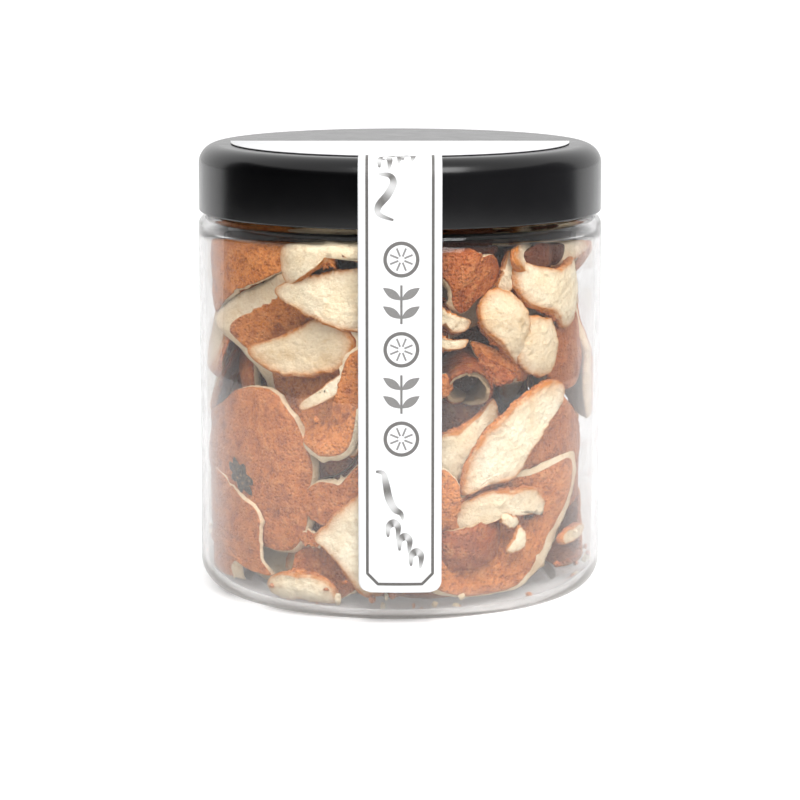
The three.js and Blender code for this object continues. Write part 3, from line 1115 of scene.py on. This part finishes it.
def roll_place(s, z, depth, tilt, turn, radius):
    """A rolled strip whose axis points out of the wall, tipped by tilt and turn degrees."""
    spiral = 0.12
    origin = wall_point(s, z, depth)
    angle = s / INNER_R
    axes = Matrix.Rotation(angle, 3, "Z") @ Matrix.Rotation(math.radians(turn), 3, "Z")
    axes = axes @ Matrix.Rotation(math.radians(tilt), 3, "X")

    def place(a, b):
        round_angle = a / radius
        r = radius * (1 + spiral * round_angle / math.pi)
        local = Vector((r * math.sin(round_angle), b, r * math.cos(round_angle)))
        return keep_inside(origin + axes @ local)

    return place


# Rolled pieces: the place of each, the half length of the strip round the roll and along its axis,
# and its tone.
CURLS = (
    (dict(s=17.2, z=52.4, depth=8.3, tilt=14, turn=-16, radius=5.3), 17.8, 7.2, 1.3),
    (dict(s=23.5, z=53.6, depth=6.0, tilt=40, turn=55, radius=3.6), 8.0, 4.5, 1.2),
    (dict(s=120, z=60, depth=8.0, tilt=20, turn=10, radius=6.0), 15, 7, 0.5),
    (dict(s=-130, z=34, depth=8.0, tilt=-15, turn=10, radius=6.5), 16, 8, 0.4),
    (dict(s=95, z=24, depth=8.0, tilt=5, turn=-20, radius=5.5), 14, 7, 0.6),
    (dict(s=-95, z=66, depth=8.0, tilt=10, turn=-10, radius=6.0), 15, 7, 0.3),
)


def build_curls(material):
    """Pieces that dried into a roll."""
    heap = Heap()
    for number, (lie, half_round, half_along, tone) in enumerate(CURLS):
        rng = random.Random(40 + number)
        outline = lobed_outline(half_round, half_along, 2, 0.05, 0, rng)
        heap.sheet(
            roll_place(**lie), outline, True, tone=tone, cells=40, thickness=1.5, lip=0.1,
            seed=60 + number, crust=0.9,
        )
    heap.finish("peel_curls", material)


# Where loose pieces may lie, in millimetres and degrees. Those behind the listed front pieces start
# deeper, and the foot of the heap's right side stays open.
LOOSE_LOW, LOOSE_HIGH = 8.0, 79.0
LOOSE_FIRST, LOOSE_LAST, LOOSE_STEP = 0.4, 16.0, 0.9
FRONT_HALF_ANGLE, BEHIND_FRONT = 84, 9.0
OPEN_LEFT, OPEN_RIGHT, OPEN_TOP = 34, 84, 28
BAND_SCALES = (1.0, 0.8, 0.65, 0.5)


def build_loose_pieces(settings, material):
    """Loose pieces set in rows round the wall, each as close to it as the others leave room."""
    rng = random.Random(settings.seed)
    heaps = {True: [Heap(), Heap()], False: [Heap(), Heap()]}
    thickness = settings.thickness / MM
    made = 0
    around = 2 * math.pi * INNER_R
    rise = LOOSE_HIGH - LOOSE_LOW
    spots = [
        (band, row, column)
        for band in range(len(BAND_SCALES))
        for row in range(settings.rows)
        for column in range(settings.columns)
    ]
    tree = points_tree()
    for band, row, column in spots:
        s = (column + 0.5 * (row % 2) + 0.37 * band + rng.uniform(-0.25, 0.25)) / settings.columns * around
        z = LOOSE_LOW + rise * (row + rng.uniform(-0.35, 0.35) + 0.35 * band) / (settings.rows - 1)
        if OPEN_LEFT < s < OPEN_RIGHT and z < OPEN_TOP:
            continue
        spot = free_place(tree, s, min(max(z, LOOSE_LOW - 2), LOOSE_HIGH), rng, thickness, band)
        if spot is None:
            continue
        place, radius, rind_out = spot
        made += 1
        heaps[rind_out][made % 2].sheet(
            place, radius, rind_out, cells=22, seed=100 + made,
            tone=rng.uniform(0.05, 1.0), thickness=thickness * rng.uniform(0.75, 1.1),
            lip=rng.uniform(0.1, 0.6), lip_to=rng.uniform(0, 360), lip_more=rng.uniform(0.2, 1.6),
        )
        tree = points_tree()
    for rind_out, side in ((True, "rind"), (False, "pith")):
        for number, heap in enumerate(heaps[rind_out]):
            heap.finish(f"peel_loose_{side}_{number + 1}", material)


def points_tree():
    """A search tree of the points that sheets already take up."""
    tree = kdtree.KDTree(len(Heap.taken))
    for i, co in enumerate(Heap.taken):
        tree.insert(co, i)
    tree.balance()
    return tree


def free_place(tree, s, z, rng, thickness, band):
    """The shallowest place near (s, z) where a random piece clears the ones already there."""
    scale = BAND_SCALES[band]
    width, height = rng.uniform(11, 21) * scale, rng.uniform(9, 16) * scale
    turn = rng.uniform(0, math.pi)
    radius = lobed_outline(width, height, rng.choice((2, 3, 3, 4)), rng.uniform(0.03, 0.12), turn, rng)
    rind_out = rng.random() < 0.52
    size = (width + height) / 2
    lie = dict(
        bend=rng.choice((-6.0, -2.0, 1.0, 3.0, 5.5)) * scale + rng.uniform(-1, 1),
        lean_s=rng.uniform(-0.32, 0.32), lean_z=rng.uniform(-0.32, 0.38),
        fold=rng.choice((0, 0, rng.uniform(2, 6))), fold_angle=rng.uniform(0, 180),
    )
    round_front = math.degrees((s / INNER_R + math.pi) % (2 * math.pi) - math.pi)
    first = BEHIND_FRONT if abs(round_front) < FRONT_HALF_ANGLE else LOOSE_FIRST
    depth = max(first, -min(lie["bend"], 0) * 0.9)
    directions = [math.radians(d) for d in range(0, 360, 30)]
    clear = thickness * 0.62
    while depth < LOOSE_LAST:
        place = wall_place((s, z), depth, size=size, **lie)
        tests = (
            place(radius(a) * rho * math.cos(a), radius(a) * rho * math.sin(a))
            for rho in (0.0, 0.35, 0.7, 1.0) for a in directions
        )
        if all(tree.find(point)[2] > clear for point in tests):
            return place, radius, rind_out
        depth += LOOSE_STEP
    return None


def build_top_pieces(settings, material):
    """Flat pieces on top of the heap, inside the neck."""
    rng = random.Random(settings.seed + 1)
    heap = Heap()
    ring = 8
    for number in range(ring + 1):
        reach = 0 if number == 0 else 24
        angle = number / ring * 2 * math.pi
        height = rng.uniform(85.5, 87.5) + 2.2 * (number % 2)
        middle = Vector((reach * math.cos(angle), reach * math.sin(angle), height))
        width, length = rng.uniform(9, 13), rng.uniform(8, 11)
        radius = lobed_outline(width, length, 3, 0.1, rng.uniform(0, 6), rng)
        tilt = Matrix.Rotation(rng.uniform(-0.12, 0.12), 3, "X")
        tilt = tilt @ Matrix.Rotation(rng.uniform(-0.12, 0.12), 3, "Y")

        def place(a, b, middle=middle, tilt=tilt, size=(width + length) / 2):
            return middle + tilt @ Vector((a, b, -1.5 * (a * a + b * b) / size**2))

        heap.sheet(place, radius, number % 3 != 0, tone=rng.random(), cells=16, lip=0.6, seed=300 + number)
    heap.finish("peel_top_pieces", material)


def build_core(material):
    """The inside of the heap, where pieces lie too deep to be told apart, painted dark as their shade."""
    bm = bmesh.new()
    bmesh.ops.create_icosphere(bm, subdivisions=5, radius=1.0)
    pith = bm.verts.layers.float.new("pith")
    tone = bm.verts.layers.float.new("tone")
    bm.verts.layers.float.new("edge")
    core_r, low, high = INNER_R - LOOSE_LAST + 0.5, 5.0, 85.0
    for v in bm.verts:
        direction = v.co.normalized()
        flat = math.hypot(direction.x, direction.y)
        squared = max(flat, abs(direction.z))
        x, y, z = (c / squared for c in direction)
        point = Vector((x * core_r, y * core_r, (low + high) / 2 + z * (high - low) / 2))
        lumps = noise.noise(point * 0.11) * 3 + noise.noise(point * 0.3) * 1.5
        v[pith] = 0.2 + 0.5 * (noise.noise(point * 0.2) > 0.25)
        # Full tone, with the material's painted depth shade, paints the deep heap's shade.
        v[tone] = 1.0
        v.co = (point + direction * lumps) * MM
    bmesh.ops.recalc_face_normals(bm, faces=bm.faces)
    finish_mesh(bm, "peel_core", material)


def build_crumbs(settings, material):
    """Crumbs of peel on the jar's floor and against the wall."""
    rng = random.Random(settings.seed + 2)
    bm = bmesh.new()
    layers = {name: bm.verts.layers.float.new(name) for name in ("pith", "tone", "edge")}
    count, low_spread, high_spread, highest = 90, 5, 22, 80
    for number in range(count):
        size = rng.uniform(0.25, 0.95)
        s = rng.uniform(-140, 140)
        z = BASE + size + abs(rng.gauss(0, 1)) * (low_spread if number % 3 else high_spread)
        made = bmesh.ops.create_icosphere(bm, subdivisions=2, radius=size)["verts"]
        middle = wall_point(s, min(z, highest), size * 0.8 + 0.1)
        stretch = Vector((rng.uniform(0.6, 1.3), rng.uniform(0.5, 1), rng.uniform(0.5, 1.4)))
        is_pith, shade = float(rng.random() < 0.6), rng.random()
        for v in made:
            lump = 1 + 0.5 * noise.noise(v.co * 1.7 + Vector((number, 0, 0)))
            v.co = keep_inside(Vector(c * k * lump for c, k in zip(v.co, stretch)) + middle) * MM
            v[layers["pith"]] = is_pith
            v[layers["tone"]] = shade
    finish_mesh(bm, "peel_crumbs", material)


# ---- Label ----


def label_path():
    """The strip's side view from its foot up to the disc's edge, as (radius, height) points."""
    down = [
        (DISC_R, CAP_TOP + PAPER_GAP),
        *arc(CAP_R - CAP_EDGE_ROUND, CAP_TOP - CAP_EDGE_ROUND, CAP_EDGE_ROUND + PAPER_GAP, 90, 0, 14),
        (CAP_R + PAPER_GAP, CAP_BOTTOM),
        (BODY_R + PAPER_GAP, SHOULDER_Z - SHOULDER_ROUND),
        (BODY_R + PAPER_GAP, LABEL_BOTTOM),
    ]
    return down[::-1]


LABEL_PATH = label_path()
LABEL_STEPS = [math.dist(a, b) for a, b in zip(LABEL_PATH, LABEL_PATH[1:])]
LABEL_LENGTH = sum(LABEL_STEPS)


def label_point(u, t, lift=0.0):
    """A point of the strip: u to the right of its middle and t along it from its foot."""
    left = min(max(t, 0), LABEL_LENGTH)
    for a, b, length in zip(LABEL_PATH, LABEL_PATH[1:], LABEL_STEPS):
        if left <= length or b is LABEL_PATH[-1]:
            share = min(left / length, 1)
            r, z = (a[k] + (b[k] - a[k]) * share for k in (0, 1))
            out_r, out_z = (a[1] - b[1]) / length, (b[0] - a[0]) / length
            r, z = r - out_r * lift, z - out_z * lift
            return Vector((u, -math.sqrt(max(r * r - u * u, 0)), z)) * MM
        left -= length
    raise ValueError("the label's path is empty")


def build_label(settings, paper_material, ink_material):
    """The paper seal: a half disc on the cap and the strip down the front."""
    half, corner = settings.width / MM / 2, 2.5
    bm = bmesh.new()
    columns, rows = 24, 220
    bmesh.ops.create_grid(bm, x_segments=columns, y_segments=rows, size=1.0)
    for v in bm.verts:
        t = (v.co.y + 1) / 2 * LABEL_LENGTH
        narrow = corner - math.sqrt(max(corner**2 - max(corner - t, 0) ** 2, 0))
        v.co = label_point(v.co.x * (half - narrow), t)
    disc = bmesh.ops.create_circle(bm, cap_ends=True, segments=160, radius=DISC_R * MM)["verts"]
    bmesh.ops.translate(bm, verts=disc, vec=(0, 0, (CAP_TOP + PAPER_GAP) * MM))
    edges = list({e for v in disc for e in v.link_edges})
    faces = list({f for v in disc for f in v.link_faces})
    bmesh.ops.bisect_plane(
        bm, geom=disc + edges + faces, plane_co=(0, 0, 0), plane_no=(0, 1, 0), clear_outer=True
    )
    for face in bm.faces:
        face.normal_update()
        out = face.calc_center_median()
        if face.normal.dot(Vector((out.x, out.y, out.z - 0.08))) < 0:
            face.normal_flip()
    piece = finish_mesh(bm, "label_paper", paper_material, ["label"])
    wall = piece.modifiers.new("Paper", "SOLIDIFY")
    wall.thickness, wall.offset = PAPER * MM, 1.0
    build_print(settings, ink_material)


def stroke(bm, ink_layer, path, width, strength, closed=False):
    """A printed line through (u, t) points.

    width and strength are values, or functions of the share of the line from 0 to 1.
    """
    print_lift = PAPER + 0.05
    count = len(path)
    rows = []
    for i, (u, t) in enumerate(path):
        before = path[i - 1] if closed or i else path[i]
        after = path[(i + 1) % count] if closed or i < count - 1 else path[i]
        du, dt = after[0] - before[0], after[1] - before[1]
        length = math.hypot(du, dt) or 1
        share = i / max(count - 1, 1)
        w = (width(share) if callable(width) else width) / 2
        dark = strength(share) if callable(strength) else strength
        row = []
        for side in (-1, 1):
            place = label_point(u - side * dt / length * w, t + side * du / length * w, print_lift)
            v = bm.verts.new(place)
            v[ink_layer] = dark
            row.append(v)
        rows.append(row)
    pairs = list(zip(rows, rows[1:])) + ([(rows[-1], rows[0])] if closed else [])
    for (a, b), (c, d) in pairs:
        bm.faces.new((a, b, d, c))


def fine(points, step=1.5):
    """The same line with points no further apart than step."""
    dense = []
    for a, b in zip(points, points[1:]):
        count = max(1, math.ceil(math.dist(a, b) / step))
        dense += [(a[0] + (b[0] - a[0]) * i / count, a[1] + (b[1] - a[1]) * i / count) for i in range(count)]
    return dense + [points[-1]]


def rounded(points, steps=8):
    """A smooth line through points."""
    line = [Vector(c) for c in (points[0], *points, points[-1])]
    made = []
    for a, b, c, d in zip(line, line[1:], line[2:], line[3:]):
        for i in range(steps):
            co = spline(a, b, c, d, i / steps)
            made.append((co.x, co.y))
    return made + [tuple(points[-1])]


def circle(u, t, radius):
    """Points round a circle about (u, t)."""
    count = 40
    angles = [2 * math.pi * i / count for i in range(count)]
    return [(u + radius * math.cos(a), t + radius * math.sin(a)) for a in angles]


def build_print(settings, material):
    """The printed frame, fruit slices with leaves between them, and two curls of peel."""
    bm = bmesh.new()
    layer = bm.verts.layers.float.new("ink")
    half = settings.width / MM / 2 - settings.frame_inset / MM
    foot, cut, line = settings.frame_inset / MM, 2.3, 0.62
    frame_line = [(-half, LABEL_LENGTH - 0.2), (-half, foot + cut), (-half + cut, foot), (half - cut, foot),
                  (half, foot + cut), (half, LABEL_LENGTH - 0.2)]
    stroke(bm, layer, fine(frame_line, 0.4), line, 1.0)

    slices, spokes, slice_r, first, pitch, centre = 3, 8, 3.5, 34.0, 19.5, 0.3
    half_stem, leaf_out, leaf_up, leaf_steps = 4.2, 3.9, 2.6, 12
    for number in range(slices):
        t = first + pitch * number
        stroke(bm, layer, circle(centre, t, slice_r), 0.75, 0.95, closed=True)
        for spoke in range(spokes):
            a = 2 * math.pi * (spoke + 0.5) / spokes
            tip = [(centre + r * math.cos(a), t + r * math.sin(a)) for r in (0.7, slice_r - 0.9)]
            stroke(bm, layer, fine(tip, 0.5), 0.4, 0.8)
        if number == slices - 1:
            break
        middle = t + pitch / 2
        stroke(bm, layer, fine([(centre, middle - half_stem), (centre, middle + half_stem)]), 0.5, 0.9)
        for side in (-1, 1):
            for step in (-1, 1):
                start = middle + step * 2 - 1
                shares = [i / leaf_steps for i in range(leaf_steps + 1)]
                leaf = [(centre + side * leaf_out * q, start + leaf_up * q) for q in shares]
                stroke(bm, layer, leaf, lambda q: 0.12 + 1.7 * math.sin(math.pi * q), 0.85)

    def shine(q):
        return 0.3 + 0.65 * math.cos(math.pi * q * 2.5) ** 2

    def swell(q):
        return 0.4 + 1.25 * math.sin(math.pi * q)

    top = LABEL_LENGTH - 18.5
    tails = (
        [(-1.4, top), (-4.4, top + 1.2), (-4.6, top + 3), (-2.6, top + 5.5), (-1.4, top + 8),
         (-2.2, top + 9.5), (-4.6, top + 9.8)],
        [(-5.2, 26.8), (-3.6, 26.4), (-3.0, 24), (-2.4, 21), (-1.2, 18.6), (0.2, 17.6), (0.6, 16.2)],
    )
    hooks = (
        (-4.4, top + 11.2), (-2.3, top + 12.8), (0.6, top + 13.4), (-2.6, 12.4), (-0.1, 9.4), (2.4, 6.0)
    )
    for tail in tails:
        stroke(bm, layer, rounded(tail), swell, shine)
    for u, t in hooks:
        bow = [(u, t), (u + 0.1, t + 2.2), (u + 1.2, t + 3.1), (u + 2.2, t + 2.1), (u + 2.0, t - 0.6)]
        stroke(bm, layer, rounded(bow), swell, shine)
    bmesh.ops.recalc_face_normals(bm, faces=bm.faces)
    for face in bm.faces:
        if face.normal.y > 0 and face.normal.z < 0.5:
            face.normal_flip()
    finish_mesh(bm, "label_print", material)


# ---- Operators ----


class PEELJAR_OT_jar(bpy.types.Operator):
    """Builds the clear jar with its base, shoulder, neck and thread"""

    bl_idname = "peel_jar.build_jar"
    bl_label = "Build Jar"

    def execute(self, context):
        material = clear_plastic(context.scene.peel_jar_body)
        shoulder_r, inner_z = BODY_R - SHOULDER_ROUND, SHOULDER_Z - WALL
        foot_round, neck_round, rim_round = 0.3, 0.6, 0.5
        profile = [
            *dome(FOOT_INNER, 0, DOME_RISE, 12),
            *arc(FOOT_INNER + foot_round, foot_round, foot_round, 200, 270, 4),
            *arc(FOOT_R, HEEL_ROUND, HEEL_ROUND, -90, 0, 20),
            *arc(shoulder_r, SHOULDER_Z - SHOULDER_ROUND, SHOULDER_ROUND, 0, 90, 12),
            *arc(NECK_R + neck_round, SHOULDER_Z + neck_round, neck_round, 270, 180, 5),
            *arc(NECK_R - rim_round, RIM_Z - rim_round, rim_round, 0, 90, 4),
            *arc(MOUTH_R + rim_round, RIM_Z - rim_round, rim_round, 90, 180, 4),
            *arc(MOUTH_R, inner_z - INNER_SHOULDER, INNER_SHOULDER, 90, 0, 14),
            *arc(INNER_R - INNER_HEEL, BASE + INNER_HEEL, INNER_HEEL, 0, -90, 16),
            *dome(FOOT_INNER, BASE, DOME_RISE, 12)[::-1],
        ]
        finish_mesh(spun(profile), "jar_clear", material, ["jar"])
        thread(NECK_R + THREAD_SINK, THREAD_Z, "jar_thread", material)
        return {"FINISHED"}


class PEELJAR_OT_cap(bpy.types.Operator):
    """Builds the black cap"""

    bl_idname = "peel_jar.build_cap"
    bl_label = "Build Cap"

    def execute(self, context):
        material = cap_plastic(context.scene.peel_jar_body)
        inner_r, under = CAP_R - CAP_WALL, CAP_TOP - CAP_WALL
        round_in = (CAP_EDGE_ROUND - CAP_WALL) / 2
        lip = 0.35
        profile = [
            (0, CAP_TOP),
            *arc(CAP_R - CAP_EDGE_ROUND, CAP_TOP - CAP_EDGE_ROUND, CAP_EDGE_ROUND, 90, 0, 20),
            *arc(CAP_R - lip, CAP_BOTTOM + lip, lip, 0, -90, 4),
            *arc(inner_r + lip, CAP_BOTTOM + lip, lip, 270, 180, 4),
            *arc(inner_r - round_in, under - round_in, round_in, 0, 90, 8),
            (0, under),
        ]
        finish_mesh(spun(profile), "cap_black", material, ["cap"])
        thread(inner_r - THREAD_SINK, THREAD_Z + THREAD_PITCH / 2, "cap_thread", material)
        return {"FINISHED"}


class PEELJAR_OT_label(bpy.types.Operator):
    """Builds the paper seal and its print"""

    bl_idname = "peel_jar.build_label"
    bl_label = "Build Label"

    def execute(self, context):
        settings = context.scene.peel_jar_label
        build_label(settings, paper(), ink(settings))
        return {"FINISHED"}


class PEELJAR_OT_peel(bpy.types.Operator):
    """Builds the heap of dried peel"""

    bl_idname = "peel_jar.build_peel"
    bl_label = "Build Peel"

    def execute(self, context):
        settings = context.scene.peel_jar_peel
        material = dried_peel(settings)
        Heap.taken.clear()
        build_front_pieces(material)
        build_stem_scar(stem_scar())
        build_curls(material)
        build_loose_pieces(settings, material)
        build_top_pieces(settings, material)
        build_core(material)
        build_crumbs(settings, material)
        return {"FINISHED"}


class PEELJAR_OT_stage(bpy.types.Operator):
    """Adds the floor, the lights and the camera"""

    bl_idname = "peel_jar.build_stage"
    bl_label = "Build Stage"

    def execute(self, context):
        settings = context.scene.peel_jar_stage
        build_floor()
        build_cards()
        build_lights(context, settings)
        build_camera(context, settings)
        return {"FINISHED"}


def build_floor():
    """A pale floor that reaches past the view."""
    material, tree, out = new_material("pale_floor")
    cloud = mixed(tree, object_noise(tree, 3, 2), (0.93, 0.93, 0.935), (0.95, 0.95, 0.95))
    shader = node(
        tree, "ShaderNodeBsdfPrincipled",
        {"Base Color": cloud, "Roughness": 0.8, "Specular IOR Level": 0.2, "Emission Color": (1, 1, 1, 1),
         "Emission Strength": 0.22},
    )
    tree.links.new(shader.outputs[0], out.inputs["Surface"])
    bm = bmesh.new()
    bmesh.ops.create_circle(bm, cap_ends=True, segments=96, radius=6.0)
    bmesh.ops.translate(bm, verts=bm.verts, vec=(0, 0, -0.0002))
    floor = add_object(bm, "floor", material)


def build_cards():
    """The dark side of the studio, in front of the jar. The cards at floor level only show in gloss."""
    high, low, near, reach = 0.75, 0.002, 0.36, 0.95
    for name, start, end, level in (("left", -116, 8, 0.005), ("right", 8, 116, 0.22)):
        material, tree, out = new_material(f"studio_card_{name}")
        shader = node(tree, "ShaderNodeEmission", {"Color": (level, level, level * 1.08, 1), "Strength": 1.0})
        tree.links.new(shader.outputs[0], out.inputs["Surface"])
        angle = math.radians(start)
        parts = (("wall", (reach, low), (reach, high)), ("floor", (near, low), (reach, low)))
        for part, first, last in parts:
            bm = bmesh.new()
            ends = [bm.verts.new((r * math.sin(angle), -r * math.cos(angle), z)) for r, z in (first, last)]
            edge = bm.edges.new(ends)
            bmesh.ops.spin(
                bm, geom=[*ends, edge], cent=(0, 0, 0), axis=(0, 0, 1), dvec=(0, 0, 0),
                angle=math.radians(end - start), steps=24,
                use_merge=False, use_normal_flip=False, use_duplicate=False,
            )
            card = add_object(bm, f"card_{part}_{name}", material)
            card.visible_camera = card.visible_transmission = card.visible_shadow = False
            card.visible_diffuse = part == "wall"


def build_lights(context, settings):
    """A white surround and one large soft light above the front."""
    world = bpy.data.worlds.new("white_surround")
    context.scene.world = world
    world.use_nodes = True
    background = world.node_tree.nodes["Background"]
    background.inputs["Color"].default_value = (1, 1, 1, 1)
    background.inputs["Strength"].default_value = 1.0
    data = bpy.data.lights.new("key_softbox", "AREA")
    data.shape, data.size, data.size_y = "RECTANGLE", 0.8, 0.5
    data.energy = settings.key_power
    key = bpy.data.objects.new("key_softbox", data)
    key.location = (0.12, -0.6, 0.85)
    key.rotation_euler = (Vector((0, 0, 0.05)) - key.location).to_track_quat("-Z", "Y").to_euler()
    context.scene.collection.objects.link(key)
    context.scene.view_settings.view_transform = "Standard"


def build_camera(context, settings):
    """The camera, looking slightly down at the jar's front."""
    data = bpy.data.cameras.new("camera")
    data.lens, data.sensor_width, data.clip_start = settings.lens, 36.0, 0.01
    camera = bpy.data.objects.new("camera", data)
    target = Vector((0, 0, settings.target_height))
    back = Vector((0, -math.cos(settings.pitch), math.sin(settings.pitch)))
    camera.location = target + back * settings.distance
    camera.rotation_euler = (target - camera.location).to_track_quat("-Z", "Y").to_euler()
    context.scene.collection.objects.link(camera)
    context.scene.camera = camera


class PEELJAR_PT_panel(bpy.types.Panel):
    """Lists the jar's settings and build steps"""

    bl_idname = "PEELJAR_PT_panel"
    bl_label = "Peel Jar"
    bl_space_type = "VIEW_3D"
    bl_region_type = "UI"
    bl_category = "Peel Jar"

    def draw(self, context):
        for name, operator in STEPS:
            box = self.layout.box()
            settings = getattr(context.scene, name)
            for key in settings.bl_rna.properties.keys():
                if key not in {"rna_type", "name"}:
                    box.prop(settings, key)
            box.operator(operator)


STEPS = (
    ("peel_jar_body", "peel_jar.build_jar"),
    ("peel_jar_body", "peel_jar.build_cap"),
    ("peel_jar_label", "peel_jar.build_label"),
    ("peel_jar_peel", "peel_jar.build_peel"),
    ("peel_jar_stage", "peel_jar.build_stage"),
)
SETTINGS = {
    "peel_jar_body": JarSettings,
    "peel_jar_label": LabelSettings,
    "peel_jar_peel": PeelSettings,
    "peel_jar_stage": StageSettings,
}
CLASSES = (
    *SETTINGS.values(), PEELJAR_OT_jar, PEELJAR_OT_cap, PEELJAR_OT_label, PEELJAR_OT_peel, PEELJAR_OT_stage,
    PEELJAR_PT_panel,
)


def register():
    """Registers the classes and hangs the settings on the scene."""
    for cls in CLASSES:
        bpy.utils.register_class(cls)
    for name, group in SETTINGS.items():
        setattr(bpy.types.Scene, name, PointerProperty(type=group))


def unregister():
    """Undoes register."""
    for name in SETTINGS:
        delattr(bpy.types.Scene, name)
    for cls in reversed(CLASSES):
        bpy.utils.unregister_class(cls)


def main():
    """Builds the jar around its frame."""
    register()
    bpy.ops.peel_jar.build_jar()
    bpy.ops.peel_jar.build_cap()
    bpy.ops.peel_jar.build_label()
    bpy.ops.peel_jar.build_peel()
    bpy.ops.peel_jar.build_stage()


if __name__ == "__main__":
    main()
